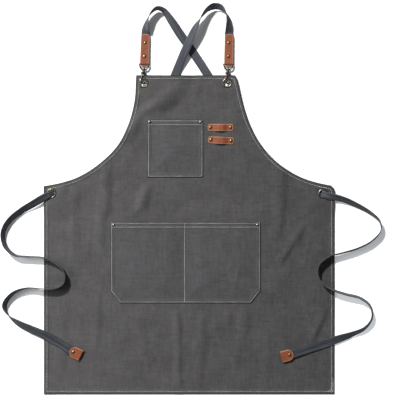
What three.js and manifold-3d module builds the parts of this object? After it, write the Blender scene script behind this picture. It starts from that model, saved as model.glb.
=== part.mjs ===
// A cross-back canvas apron lying face up: a hemmed bib and skirt in one panel, two patch pockets,
// two leather tool loops, and two webbing straps. Each strap hangs on a snap hook in a bib eyelet,
// loops over, crosses the other, runs behind the bib and comes out of a waist eyelet as a tie.
// Millimetres, +Z up. Pieces are laid out with x from the apron's centre line and y from its bottom
// hem; the finished group is then moved so that its origin is under the middle of its box.

import * as THREE from "three";
import { mergeVertices } from "three/addons/utils/BufferGeometryUtils.js";
import Module from "manifold-3d";

const wasm = await Module();
wasm.setup();

// Driving dimensions
const clear = 0.3; // gap between pieces that touch
const canvas = { thickness: 1.2, hemThickness: 2.6, hemWidth: 9, hemStep: 2 };
const skirt = { halfWidth: 340, waist: 487, rows: 9 };
const bib = { top: 746, stepsPerRow: 2 };
const panelColumns = 20;
const webbing = { width: 20, thickness: 1.8, stepsPerRow: 2 };
const leather = { thickness: 1.6 };
const chestPocket = { left: -98, right: 32, bottom: 508, top: 642 };
const waistPocket = { left: -184, right: 166, bottom: 214, top: 403, seam: -11, cornerX: 22, cornerY: 28 };
const pocket = { seat: 0.6, puff: 5, seamWidth: 10, seamHalf: 2, slope: 22 };
const pocketMouth = { hem: 12, step: 1, thickness: 2 };
const toolLoop = { length: 59, width: 16, arch: 6.4, rise: 12, rivetInset: 6, corner: 4 };
const eyelet = { inner: 7.8, outer: 12, barrel: 0.8, flange: 0.7, lip: 0.6, bevel: 1, sides: 12 };
const eyeletPressed = 24; // how far round an eyelet the hem is pressed flat
const rivet = { cap: 3.3, shoulder: 2.3, dome: 1.4, shoulderRise: 1.05, shank: 1.4, back: 2.8, sides: 8 };
const rivetBackThickness = 0.7;
const ring = { halfWidth: 12.2, halfHeight: 6.7, wire: 1.3, squareness: 6, sides: 6, around: 20 };
const tab = { width: 20, length: 69, foldRoom: 0.6, taper: 9, slope: 2.5, strapStart: 9, mouth: 3 };
const tabRivets = [17, 49];
const tip = { width: 25, length: 29, taper: 0.5, rivet: 20.5, strapEnd: 4.5, mouth: 2 };
const swivel = { boss: 2.8, bossLength: 5.2, bore: 1.8, post: 1.45, head: 2.6, headLength: 1.6, sides: 10 };
const yoke = { top: 6, bottom: 12.2, back: 3.4, front: 6.2, half: 2.7, weld: 0.5 };
const yokeSlot = { half: 1.6, top: 7.6, back: 1, past: 1 };
const hook = { axisHeight: 6.2, turn: 50, halfSpan: 7, wire: 1.5, bowCentre: 26, tipEnd: 25 };
const hookWire = { sides: 8, steps: 20 };
const gate = { pivotDrop: 10.2, pivotFront: 4, reach: 24.2, wire: 1.2, eye: 2.2, eyeWidth: 2.6, sides: 8 };
const gatePin = { radius: 0.8, inset: 0.1 };
const gateStud = { radius: 1.1, length: 2.6, along: 0.4, out: 1.6 };

// Heights that the panel is lifted to above the surface by what lies under it
const lift = { strap: 3.4, rivet: 1.4, bibEyelet: 4.7, waistEyelet: 5.1 };
const bridge = { strapFlat: 30, strapSlope: 42, spotFlat: 42, spotSlope: 55 };

// Half widths of the bib, left and right of the centre line, from the waist corners up to the top edge
const armholeRows = [
  { y: skirt.waist, left: 340, right: 340 },
  { y: 495, left: 299, right: 299 },
  { y: 511, left: 254, right: 254 },
  { y: 542, left: 207, right: 206 },
  { y: 584, left: 166, right: 168 },
  { y: 632, left: 142, right: 144 },
  { y: 686, left: 128, right: 127 },
  { y: 727, left: 125, right: 118 },
  { y: bib.top, left: 124, right: 104 },
];

// Soft folds of the cloth: each a low ridge from one point to another
const foldRows = [
  { x1: -228, y1: 520, x2: -230, y2: 300, half: 28, height: 3 },
  { x1: -96, y1: 500, x2: -122, y2: 412, half: 24, height: 2.2 },
  { x1: 212, y1: 520, x2: 216, y2: 360, half: 28, height: 3 },
  { x1: 22, y1: 196, x2: 24, y2: -20, half: 26, height: 3 },
  { x1: -44, y1: 190, x2: -48, y2: -20, half: 26, height: 2.4 },
  { x1: -214, y1: 195, x2: -212, y2: 130, half: 28, height: 2.4 },
  { x1: 150, y1: 170, x2: 146, y2: 20, half: 28, height: 2 },
];

// The hook's wire where it leaves the yoke and runs down its back, before the round bow
const hookBackRows = [
  { down: 8.4, front: -1.6 },
  { down: 11, front: -5.6 },
  { down: 13.4, front: -hook.halfSpan },
  { down: 19, front: -hook.halfSpan },
];

const eyelets = [
  { name: "eyelet_bib_left", x: -107, y: 728 },
  { name: "eyelet_bib_right", x: 88.5, y: 728 },
  { name: "eyelet_waist_left", x: -322, y: 470 },
  { name: "eyelet_waist_right", x: 312, y: 469 },
];
const hangers = [
  { side: "left", x: -105.5, y: 766, turn: -2.5 },
  { side: "right", x: 91, y: 766, turn: -1.5 },
];
const toolLoops = [
  { name: "upper", x: 73, y: 624, turn: 0 },
  { name: "lower", x: 74, y: 594, turn: -3 },
];
const tips = [
  { side: "left", x: -252, y: 91, heading: -27 },
  { side: "right", x: 214.5, y: 88, heading: 195 },
];

// Strap routes, from the tab's top end to the tie's tip. rest is the height of what the strap lies
// on, lean is its tilt from flat (90 stands on edge), and width narrows where an eyelet gathers it.
// underPanel tells which rows are of the stretch that the panel hides.
const eyeletGather = 11.2;
const underPanel = { overTop: 20, lowest: 465, halfWidth: 325, restBelow: 5 };
const leftStrapRows = [
  { x: -101, y: 853, rest: 1.2, lean: -22 },
  { x: -98, y: 872, rest: 0, lean: -58 },
  { x: -90, y: 892, rest: 0, lean: -85 },
  { x: -76, y: 904, rest: 0, lean: -88 },
  { x: -61, y: 899, rest: 0, lean: -60 },
  { x: -45, y: 878, rest: 0, lean: -16 },
  { x: -22, y: 843, rest: 0, lean: 0 },
  { x: 3, y: 808, rest: 0, lean: 0 },
  { x: 43, y: 747, rest: 0, lean: 0 },
  { x: 76, y: 688, rest: 0, lean: 0 },
  { x: 112, y: 614, rest: 0, lean: 0 },
  { x: 168, y: 540, rest: 0, lean: 0 },
  { x: 240, y: 494, rest: 0, lean: 0 },
  { x: 285, y: 479, rest: 0, lean: 0, width: 19 },
  { x: 298, y: 474, rest: 0, lean: 0, width: eyeletGather },
  { x: 306.6, y: 470.6, rest: 0.3, lean: 0, width: eyeletGather },
  { x: 312, y: 468.5, rest: 3.9, lean: 0, width: eyeletGather },
  { x: 317.2, y: 466.4, rest: 7.5, lean: 0, width: eyeletGather },
  { x: 326, y: 464, rest: 7.5, lean: 0, width: eyeletGather },
  { x: 342, y: 461, rest: 6.6, lean: -2, width: 18 },
  { x: 362, y: 456, rest: 5, lean: -8 },
  { x: 389, y: 445, rest: 0.5, lean: -28 },
  { x: 419, y: 428, rest: 0, lean: -56 },
  { x: 443, y: 407, rest: 0, lean: -78 },
  { x: 446, y: 383, rest: 0, lean: -88 },
  { x: 424, y: 358, rest: 0, lean: -90 },
  { x: 393, y: 342, rest: 0, lean: -90 },
  { x: 356, y: 331, rest: 3.4, lean: -90 },
  { x: 326, y: 323, rest: 3.2, lean: -90 },
  { x: 304, y: 305, rest: 1.6, lean: -90 },
  { x: 300, y: 284, rest: 1.6, lean: -90 },
  { x: 311, y: 261, rest: 1.6, lean: -90 },
  { x: 336, y: 245, rest: 3.4, lean: -86 },
  { x: 366, y: 235, rest: 2, lean: -86 },
  { x: 399, y: 226, rest: 0, lean: -84 },
  { x: 422, y: 207, rest: 0, lean: -76 },
  { x: 426, y: 180, rest: 0, lean: -72 },
  { x: 409, y: 156, rest: 0, lean: -66 },
  { x: 380, y: 142, rest: 1.5, lean: -50 },
  { x: 349, y: 131, rest: 3.3, lean: -22 },
  { x: 318, y: 120, rest: 3, lean: -4 },
  { x: 281, y: 108, rest: 3, lean: 0 },
];
const rightStrapRows = [
  { x: 93, y: 858, rest: 1.2, lean: 22 },
  { x: 91, y: 876, rest: 0, lean: 58 },
  { x: 84, y: 895, rest: 0, lean: 84 },
  { x: 72, y: 908, rest: 0, lean: 88 },
  { x: 57, y: 910, rest: 0, lean: 88 },
  { x: 42, y: 902, rest: 0, lean: 84 },
  { x: 28, y: 883, rest: 0.4, lean: 58 },
  { x: 14, y: 855, rest: 1.8, lean: 20 },
  { x: 1, y: 826, rest: 2.4, lean: 2 },
  { x: -12, y: 797, rest: 2.3, lean: 0 },
  { x: -26, y: 764, rest: 0.4, lean: 0 },
  { x: -40, y: 733, rest: 0, lean: 0 },
  { x: -78, y: 680, rest: 0, lean: 0 },
  { x: -120, y: 618, rest: 0, lean: 0 },
  { x: -172, y: 542, rest: 0, lean: 0 },
  { x: -246, y: 495, rest: 0, lean: 0 },
  { x: -295, y: 480, rest: 0, lean: 0, width: 19 },
  { x: -308, y: 475.4, rest: 0, lean: 0, width: eyeletGather },
  { x: -316.8, y: 472, rest: 0.3, lean: 0, width: eyeletGather },
  { x: -322, y: 469.7, rest: 3.9, lean: 0, width: eyeletGather },
  { x: -326.7, y: 467, rest: 7.5, lean: 0, width: eyeletGather },
  { x: -335, y: 462.4, rest: 7.5, lean: 0, width: eyeletGather },
  { x: -350, y: 453.5, rest: 6.2, lean: 5, width: 18 },
  { x: -368, y: 443, rest: 4, lean: 18 },
  { x: -392, y: 429, rest: 0.4, lean: 38 },
  { x: -421, y: 406, rest: 0, lean: 54 },
  { x: -436, y: 378, rest: 0, lean: 60 },
  { x: -429, y: 346, rest: 0, lean: 70 },
  { x: -406, y: 326, rest: 0, lean: 82 },
  { x: -375, y: 323, rest: 1.4, lean: 88 },
  { x: -342, y: 321, rest: 3.4, lean: 90 },
  { x: -312, y: 308, rest: 2, lean: 90 },
  { x: -290, y: 286, rest: 1.6, lean: 90 },
  { x: -291, y: 261, rest: 1.6, lean: 90 },
  { x: -312, y: 248, rest: 2.4, lean: 88 },
  { x: -343, y: 248, rest: 3.4, lean: 86 },
  { x: -378, y: 250, rest: 0.4, lean: 84 },
  { x: -411, y: 237, rest: 0, lean: 72 },
  { x: -430, y: 211, rest: 0, lean: 66 },
  { x: -424, y: 189, rest: 0.1, lean: 96 },
  { x: -401, y: 169, rest: 0.1, lean: 134 },
  { x: -370, y: 153, rest: 2, lean: 160 },
  { x: -340, y: 140, rest: 3.4, lean: 174 },
  { x: -308, y: 123, rest: 3, lean: 180 },
];

// Colours and finishes
function finish(color, roughness, metalness = 0) {
  return new THREE.MeshStandardMaterial({ color, roughness, metalness });
}

const canvasFinish = finish(0x595858, 0.9);
const webbingFinish = finish(0x4b4f55, 0.85);
const leatherFinish = finish(0x9a5c40, 0.6);
const brassFinish = finish(0x8a7a5c, 0.35, 1);
const hookFinish = finish(0x4a463f, 0.4, 1);

// Solids: joining and cutting closed geometries
function solidOf(geometry) {
  const bare = new THREE.BufferGeometry();
  bare.setAttribute("position", geometry.getAttribute("position").clone());
  bare.setIndex(geometry.index);
  const merged = mergeVertices(bare, 1e-3);
  const vertProperties = merged.getAttribute("position").array;
  const triVerts = new Uint32Array(merged.index.array);
  return new wasm.Manifold(new wasm.Mesh({ numProp: 3, vertProperties, triVerts }));
}

function geometryOf(solid) {
  const mesh = solid.getMesh();
  const geometry = new THREE.BufferGeometry();
  geometry.setAttribute("position", new THREE.BufferAttribute(mesh.vertProperties, mesh.numProp));
  geometry.setIndex(new THREE.BufferAttribute(mesh.triVerts, 1));
  geometry.computeVertexNormals();
  return geometry;
}

function join(...geometries) {
  return geometryOf(geometries.map(solidOf).reduce((all, next) => all.add(next)));
}

function cut(geometry, ...cutters) {
  return geometryOf(cutters.map(solidOf).reduce((left, next) => left.subtract(next), solidOf(geometry)));
}

function common(one, other) {
  return geometryOf(solidOf(one).intersect(solidOf(other)));
}

// A closed sheet: a unit box whose corners are placed by a function of how far they lie across (u),
// along (v) and through (face, 0 under and 1 upper) it
function sheet(across, along, place) {
  const geometry = new THREE.BoxGeometry(1, 1, 1, across, along, 1);
  const position = geometry.getAttribute("position");
  for (let i = 0; i < position.count; i++) {
    const u = position.getX(i) + 0.5;
    const v = position.getY(i) + 0.5;
    const face = position.getZ(i) + 0.5;
    const { x, y, z } = place(u, v, face);
    position.setXYZ(i, x, y, z);
  }
  geometry.computeVertexNormals();
  return geometry;
}

function cylinder(radius, length, sides) {
  return new THREE.CylinderGeometry(radius, radius, length, sides);
}

// A round rod along a smooth curve through the given points
function rod(points, radius, sides, steps) {
  const section = new THREE.Shape().absarc(0, 0, radius, 0, 2 * Math.PI);
  const extrudePath = new THREE.CatmullRomCurve3(points);
  const curveSegments = sides / 2;
  return new THREE.ExtrudeGeometry(section, { steps, extrudePath, curveSegments, bevelEnabled: false });
}

function uprightCutter(x, y, radius, sides) {
  const reach = 60;
  return cylinder(radius, reach, sides).rotateX(Math.PI / 2).translate(x, y, 0);
}

function rivetHole({ x, y }) {
  return uprightCutter(x, y, rivet.shank + clear, rivet.sides);
}

// How the panel lies: heights of its underside and upper side
const smooth = (value, from, to) => THREE.MathUtils.smoothstep(value, from, to);
const degrees = THREE.MathUtils.degToRad;

function distanceToLine(x, y, one, other) {
  const line = new THREE.Line3(new THREE.Vector3(one.x, one.y, 0), new THREE.Vector3(other.x, other.y, 0));
  const at = new THREE.Vector3(x, y, 0);
  return line.closestPointToPoint(at, true, new THREE.Vector3()).distanceTo(at);
}

function hiddenRoute(rows) {
  const { overTop, lowest, halfWidth, restBelow } = underPanel;
  const belowTop = rows.filter((row) => row.y < bib.top + overTop && row.y > lowest);
  return belowTop.filter((row) => Math.abs(row.x) < halfWidth && row.rest < restBelow);
}

const hiddenRoutes = [hiddenRoute(leftStrapRows), hiddenRoute(rightStrapRows)];

function cornerRivets(name, box, inset) {
  const y = box.top - inset;
  return [
    { name: `${name}_left`, x: box.left + inset, y },
    { name: `${name}_right`, x: box.right - inset, y },
  ];
}

const chestRivets = cornerRivets("chest", chestPocket, 5.5);
const waistRivets = cornerRivets("waist", waistPocket, 7);
const pocketRivets = [...chestRivets, ...waistRivets];

function loopRivetPlaces(loop) {
  const offset = toolLoop.length / 2 - toolLoop.rivetInset;
  return [-offset, offset].map((along) => ({
    x: loop.x + along * Math.cos(degrees(loop.turn)),
    y: loop.y + along * Math.sin(degrees(loop.turn)),
  }));
}

const panelRivets = [...pocketRivets, ...toolLoops.flatMap(loopRivetPlaces)];
const liftedSpots = [
  ...eyelets.map((spot) => ({ ...spot, height: spot.y > skirt.waist ? lift.bibEyelet : lift.waistEyelet })),
  ...panelRivets.map((spot) => ({ ...spot, height: lift.rivet })),
];

function awayFromPockets(x, y) {
  const margin = { from: 24, to: 44 };
  const outside = [chestPocket, waistPocket].map((box) => {
    const dx = Math.max(box.left - x, 0, x - box.right);
    const dy = Math.max(box.bottom - y, 0, y - box.top);
    return smooth(Math.hypot(dx, dy), margin.from, margin.to);
  });
  return Math.min(...outside);
}

function panelUnder(x, y) {
  let height = 0;
  for (const spot of liftedSpots) {
    const away = Math.hypot(x - spot.x, y - spot.y);
    const reach = bridge.spotFlat + bridge.spotSlope;
    height = Math.max(height, spot.height * (1 - smooth(away, bridge.spotFlat, reach)));
  }
  for (const route of hiddenRoutes) {
    for (let i = 1; i < route.length; i++) {
      const away = distanceToLine(x, y, route[i - 1], route[i]);
      const reach = bridge.strapFlat + bridge.strapSlope;
      height = Math.max(height, lift.strap * (1 - smooth(away, bridge.strapFlat, reach)));
    }
  }
  let folds = 0;
  for (const fold of foldRows) {
    const away = distanceToLine(x, y, { x: fold.x1, y: fold.y1 }, { x: fold.x2, y: fold.y2 });
    folds += fold.height * (1 - smooth(away, 0, fold.half));
  }
  return height + folds * awayFromPockets(x, y);
}

function panelTop(x, y) {
  return panelUnder(x, y) + canvas.thickness;
}

// The highest that the panel comes under a rivet's cap
function panelTopUnderCap(x, y) {
  const rim = [0, 90, 180, 270].map(degrees);
  const points = rim.map((angle) => [x + rivet.cap * Math.cos(angle), y + rivet.cap * Math.sin(angle)]);
  return Math.max(...points.map((point) => panelTop(...point)));
}

// The panel: rows of the skirt, then rows up the armholes, each with a hem at its ends
function panelRows() {
  const inner = canvas.hemWidth + canvas.hemStep;
  const skirtRow = (y) => ({ left: -skirt.halfWidth, right: skirt.halfWidth, y });
  const rows = [0, canvas.hemWidth, inner].map(skirtRow);
  const reach = skirt.waist - canvas.hemWidth - inner;
  for (let i = 1; i <= skirt.rows; i++) {
    rows.push(skirtRow(inner + (reach * i) / skirt.rows));
  }
  const leftSide = new THREE.SplineCurve(armholeRows.map((row) => new THREE.Vector2(-row.left, row.y)));
  const rightSide = new THREE.SplineCurve(armholeRows.map((row) => new THREE.Vector2(row.right, row.y)));
  const steps = (armholeRows.length - 1) * bib.stepsPerRow;
  for (let i = 0; i <= steps; i++) {
    const left = leftSide.getPoint(i / steps);
    rows.push({ left: left.x, right: rightSide.getPoint(i / steps).x, y: left.y });
  }
  return rows;
}

// Widths of the side hems, measured across the row, so that the hem follows a slanting edge
function hemAcross(rows, index, side) {
  const row = rows[index];
  if (row.y < skirt.waist) return canvas.hemWidth;
  const next = rows[Math.min(index + 1, rows.length - 1)];
  const previous = rows[Math.max(index - 1, 0)];
  const start = row.y === skirt.waist ? row : previous;
  const rise = next.y - start.y;
  const run = next[side] - start[side];
  return (canvas.hemWidth * Math.hypot(rise, run)) / rise;
}

// What the hem adds to the canvas, pressed flat beside an eyelet
function hemExtra(x, y) {
  const away = Math.min(...eyelets.map((spot) => Math.hypot(x - spot.x, y - spot.y)));
  return (canvas.hemThickness - canvas.thickness) * smooth(away, eyeletPressed, 2 * eyeletPressed);
}

function panelGeometry() {
  const rows = panelRows();
  const columns = panelColumns + 4;
  const place = (u, v, face) => {
    const rowIndex = Math.round(v * (rows.length - 1));
    const column = Math.round(u * columns);
    const row = rows[rowIndex];
    const leftHem = hemAcross(rows, rowIndex, "left");
    const rightHem = hemAcross(rows, rowIndex, "right");
    const innerLeft = row.left + leftHem + canvas.hemStep;
    const innerRight = row.right - rightHem - canvas.hemStep;
    const stops = [row.left, row.left + leftHem, innerLeft];
    for (let i = 1; i < panelColumns; i++) {
      stops.push(innerLeft + ((innerRight - innerLeft) * i) / panelColumns);
    }
    stops.push(innerRight, row.right - rightHem, row.right);
    const x = stops[column];
    const inHem = column < 2 || column > columns - 2 || rowIndex < 2 || rowIndex > rows.length - 3;
    const under = panelUnder(x, row.y);
    const extra = inHem ? hemExtra(x, row.y) : 0;
    const bottom = under - Math.min(under, extra / 2);
    return { x, y: row.y, z: bottom + face * (canvas.thickness + extra) };
  };
  const eyeletHole = eyelet.inner + eyelet.barrel + clear;
  return cut(
    sheet(columns, rows.length - 1, place),
    ...eyelets.map((spot) => uprightCutter(spot.x, spot.y, eyeletHole, eyelet.sides)),
    ...panelRivets.map(rivetHole),
  );
}

// A patch pocket, sewn down at its sides, bottom and any seam, and puffed open between them.
// cornerX and cornerY cut off its bottom corners.
function pocketGeometry({ left, right, bottom, top, seam = Infinity, cornerX = 0, cornerY = 1 }, rivets) {
  const middle = (left + right) / 2;
  const halfWidth = (right - left) / 2;
  const slopeEnd = pocket.seamWidth + pocket.slope;
  const halfSlope = pocket.seamWidth + pocket.slope / 2;
  const fromEdge = [0, pocket.seamWidth, halfSlope, slopeEnd];
  const seamSide = [pocket.seamHalf, halfSlope, slopeEnd];
  const fromSeam = seam < right ? [...seamSide.map((across) => -across).reverse(), ...seamSide] : [];
  const stops = [
    ...fromEdge.map((across) => left + across),
    ...fromSeam.map((across) => seam + across),
    ...fromEdge.map((across) => right - across).reverse(),
  ];
  const mouth = top - pocketMouth.hem;
  const halfway = (bottom + slopeEnd + mouth) / 2;
  const levels = [...fromEdge.map((up) => bottom + up), halfway, mouth - pocketMouth.step, mouth, top];
  const place = (u, v, face) => {
    const y = levels[Math.round(v * (levels.length - 1))];
    const wide = stops[Math.round(u * (stops.length - 1))];
    const cutBack = cornerX * Math.max(0, 1 - (y - bottom) / cornerY);
    const x = middle + (wide - middle) * (1 - cutBack / halfWidth);
    const toSeam = Math.abs(wide - seam) + pocket.seamWidth - pocket.seamHalf;
    const toStitches = Math.min(wide - left, right - wide, y - bottom, toSeam);
    const open = pocket.puff * smooth(toStitches, pocket.seamWidth, slopeEnd);
    const thickness = y >= mouth ? pocketMouth.thickness : canvas.thickness;
    return { x, y, z: panelTop(x, y) + pocket.seat + open + face * thickness };
  };
  return cut(sheet(stops.length - 1, levels.length - 1, place), ...rivets.map(rivetHole));
}

// A leather loop with rounded corners, flat at its riveted ends and arched between them
function toolLoopGeometry(loop) {
  const half = toolLoop.length / 2;
  const corner = toolLoop.corner;
  const flatEnd = 2 * toolLoop.rivetInset;
  const archEnd = flatEnd + toolLoop.rise;
  const stations = [0, 0.3 * corner, corner, flatEnd, (flatEnd + archEnd) / 2, archEnd];
  const alongs = [...stations.map((s) => s - half), ...stations.map((s) => half - s).reverse()];
  const place = (u, v, face) => {
    const along = alongs[Math.round(v * (alongs.length - 1))];
    const fromEnd = half - Math.abs(along);
    const short = Math.max(corner - fromEnd, 0);
    const halfWidth = toolLoop.width / 2 - corner + Math.sqrt(corner ** 2 - short ** 2);
    const across = (u - 0.5) * 2 * Math.max(halfWidth, toolLoop.width / 2 - corner);
    const turn = degrees(loop.turn);
    const x = loop.x + along * Math.cos(turn) + across * Math.sin(turn);
    const y = loop.y + along * Math.sin(turn) - across * Math.cos(turn);
    const arch = toolLoop.arch * smooth(fromEnd, flatEnd, archEnd);
    return { x, y, z: panelTop(x, y) + pocket.seat + arch + face * leather.thickness };
  };
  return cut(sheet(2, alongs.length - 1, place), ...loopRivetPlaces(loop).map(rivetHole));
}

// A domed rivet with its axis along Z, holding what lies between the two heights
function rivetGeometry(under, over) {
  const bottom = under - clear - rivetBackThickness;
  const seat = over + clear;
  const profile = [
    [0, bottom],
    [rivet.back, bottom],
    [rivet.back, under - clear],
    [rivet.shank, under - clear],
    [rivet.shank, seat],
    [rivet.cap, seat],
    [rivet.shoulder, seat + rivet.shoulderRise],
    [0, seat + rivet.dome],
  ].map(([radius, height]) => new THREE.Vector2(radius, height));
  return new THREE.LatheGeometry(profile, rivet.sides).rotateX(Math.PI / 2);
}

// An eyelet with its axis along Z: a barrel through the cloth and a rounded flange on each side
function eyeletGeometry() {
  const half = canvas.thickness / 2 + clear;
  const crown = half + eyelet.flange;
  const outerHalf = [
    [eyelet.inner + eyelet.barrel, half],
    [eyelet.outer, half],
    [eyelet.outer - eyelet.bevel, crown],
    [eyelet.inner + eyelet.lip, crown],
    [eyelet.inner, half],
  ];
  const innerHalf = outerHalf.map(([radius, height]) => [radius, -height]).reverse();
  const loop = [...outerHalf, ...innerHalf, outerHalf[0]];
  const profile = loop.map(([radius, height]) => new THREE.Vector2(radius, height));
  return new THREE.LatheGeometry(profile, eyelet.sides).rotateX(Math.PI / 2);
}

// Part of a strap, from one row to another: flat webbing along a smooth route, leaning as its rows say
function strapGeometry(rows, fromRow, toRow) {
  const thicknessAt = (width) => (webbing.thickness * webbing.width) / width;
  const full = rows.map((row) => ({ width: webbing.width, ...row }));
  const centres = full.map(({ x, y, z, rest, lean, width }) => {
    const tilt = degrees(lean);
    const rise = (width * Math.abs(Math.sin(tilt)) + thicknessAt(width) * Math.abs(Math.cos(tilt))) / 2;
    return new THREE.Vector3(x, y, z ?? rest + clear + rise);
  });
  const route = new THREE.CatmullRomCurve3(centres);
  const leansAndWidths = full.map(({ lean, width }) => new THREE.Vector3(lean, width, 0));
  const shape = new THREE.CatmullRomCurve3(leansAndWidths);
  const up = new THREE.Vector3(0, 0, 1);
  const place = (u, v, face) => {
    const along = (fromRow + v * (toRow - fromRow)) / (rows.length - 1);
    const forward = route.getTangent(along);
    const level = new THREE.Vector3().crossVectors(forward, up).normalize();
    const { x: lean, y: width } = shape.getPoint(along);
    const across = level.applyAxisAngle(forward, degrees(-lean));
    const through = new THREE.Vector3().crossVectors(across, forward);
    return route
      .getPoint(along)
      .addScaledVector(across, (u - 0.5) * width)
      .addScaledVector(through, (face - 0.5) * thicknessAt(width));
  };
  return sheet(1, (toRow - fromRow) * webbing.stepsPerRow, place);
}

// Leather folded double: a hairpin profile along X, its fold at the origin, of the given width along Y
function hairpin({ length, width, foldInside, foldAt, gapInside, taper }) {
  const outside = foldInside + leather.thickness;
  const flap = gapInside + leather.thickness;
  const profile = new THREE.Shape();
  profile.moveTo(length, flap);
  profile.lineTo(foldAt + taper, flap);
  profile.absarc(foldAt, 0, outside, Math.PI / 2, 1.5 * Math.PI);
  profile.lineTo(foldAt + taper, -flap);
  profile.lineTo(length, -flap);
  profile.lineTo(length, -gapInside);
  profile.lineTo(foldAt + taper, -gapInside);
  profile.absarc(foldAt, 0, foldInside, 1.5 * Math.PI, Math.PI / 2, true);
  profile.lineTo(foldAt + taper, gapInside);
  profile.lineTo(length, gapInside);
  profile.closePath();
  const extrusion = { depth: width, curveSegments: 3, bevelEnabled: false };
  const geometry = new THREE.ExtrudeGeometry(profile, extrusion);
  return geometry.rotateX(Math.PI / 2).translate(0, width / 2, 0);
}

const strapGap = webbing.thickness / 2 + clear;
const foldedHalf = strapGap + leather.thickness;

function tabGeometry() {
  const folded = hairpin({
    length: tab.length,
    width: tab.width,
    foldInside: ring.wire + tab.foldRoom,
    foldAt: 0,
    gapInside: strapGap,
    taper: tab.taper,
  });
  const holes = tabRivets.map((along) => rivetHole({ x: along, y: 0 }));
  return cut(folded, ...holes).rotateZ(Math.PI / 2);
}

function tipGeometry() {
  const folded = hairpin({
    length: tip.length,
    width: tip.width,
    foldInside: strapGap,
    foldAt: foldedHalf,
    gapInside: strapGap,
    taper: tip.taper,
  });
  const half = tip.width / 2;
  const roundStart = tip.length - half;
  const outline = new THREE.Shape();
  outline.moveTo(0, -half);
  outline.lineTo(roundStart, -half);
  outline.absarc(roundStart, 0, half, -Math.PI / 2, Math.PI / 2);
  outline.lineTo(0, half);
  const reach = 4 * foldedHalf;
  const block = new THREE.ExtrudeGeometry(outline, { depth: reach, curveSegments: 5, bevelEnabled: false });
  const shaped = common(folded, block.translate(0, 0, -reach / 2));
  return cut(shaped, rivetHole({ x: tip.rivet, y: 0 }));
}

// The ring in the leather tab: a rounded rectangle of wire with a bored boss for the hook's swivel.
// It starts as a torus of radius 1, whose tube is then laid round the rounded rectangle.
function ringGeometry() {
  const tube = 0.5;
  const geometry = new THREE.TorusGeometry(1, tube, ring.sides, ring.around);
  const position = geometry.getAttribute("position");
  const power = 2 / ring.squareness;
  for (let i = 0; i < position.count; i++) {
    const angle = Math.atan2(position.getY(i), position.getX(i));
    const outwards = ((Math.hypot(position.getX(i), position.getY(i)) - 1) * ring.wire) / tube;
    const height = (position.getZ(i) * ring.wire) / tube;
    const x = ring.halfWidth * Math.sign(Math.cos(angle)) * Math.abs(Math.cos(angle)) ** power;
    const y = ring.halfHeight * Math.sign(Math.sin(angle)) * Math.abs(Math.sin(angle)) ** power;
    const normal = new THREE.Vector2(
      Math.sign(x) * Math.abs(x / ring.halfWidth) ** (ring.squareness - 1) / ring.halfWidth,
      Math.sign(y) * Math.abs(y / ring.halfHeight) ** (ring.squareness - 1) / ring.halfHeight,
    ).normalize();
    position.setXYZ(i, x + normal.x * outwards, y + normal.y * outwards, height);
  }
  const boss = cylinder(swivel.boss, swivel.bossLength, swivel.sides).translate(0, -ring.halfHeight, 0);
  const bore = cylinder(swivel.bore, 2 * swivel.bossLength, swivel.sides).translate(0, -ring.halfHeight, 0);
  return cut(join(geometry, boss), bore);
}

// The snap hook, hanging along -Y from the ring's lower bar with its gate to the front (+Z):
// a headed post, a collar, a forked yoke with a cross pin, and a bent wire
function hookGeometry() {
  const { sides } = swivel;
  const collarTop = swivel.bossLength / 2 + clear;
  const headAt = collarTop + swivel.headLength / 2;
  const collarLength = yoke.top + yoke.weld - collarTop;
  const post = cylinder(swivel.post, headAt + yoke.top, sides).translate(0, (headAt - yoke.top) / 2, 0);
  const head = cylinder(swivel.head, swivel.headLength, sides).translate(0, headAt, 0);
  const collar = cylinder(swivel.boss, collarLength, sides).translate(0, -collarTop - collarLength / 2, 0);
  const yokeHeight = yoke.bottom - yoke.top;
  const body = new THREE.BoxGeometry(2 * yoke.half, yokeHeight, yoke.back + yoke.front)
    .translate(0, -(yoke.top + yoke.bottom) / 2, (yoke.front - yoke.back) / 2);
  const slotDepth = yoke.front + yokeSlot.past - yokeSlot.back;
  const slotHeight = yoke.bottom + yokeSlot.past - yokeSlot.top;
  const slot = new THREE.BoxGeometry(2 * yokeSlot.half, slotHeight, slotDepth)
    .translate(0, -yokeSlot.top - slotHeight / 2, yokeSlot.back + slotDepth / 2);
  const pin = cylinder(gatePin.radius, 2 * (yoke.half - gatePin.inset), gate.sides)
    .rotateZ(Math.PI / 2)
    .translate(0, -gate.pivotDrop, gate.pivotFront);
  const bow = [-90, -45, 0, 45, 90].map(degrees).map((angle) => ({
    down: hook.bowCentre + hook.halfSpan * Math.cos(angle),
    front: hook.halfSpan * Math.sin(angle),
  }));
  const bend = [...hookBackRows, ...bow, { down: hook.tipEnd, front: hook.halfSpan }];
  const centres = bend.map(({ down, front }) => new THREE.Vector3(0, -down, front));
  const wire = rod(centres, hook.wire, hookWire.sides, hookWire.steps);
  return join(cut(body, slot), pin, collar, post, head, wire);
}

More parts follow.
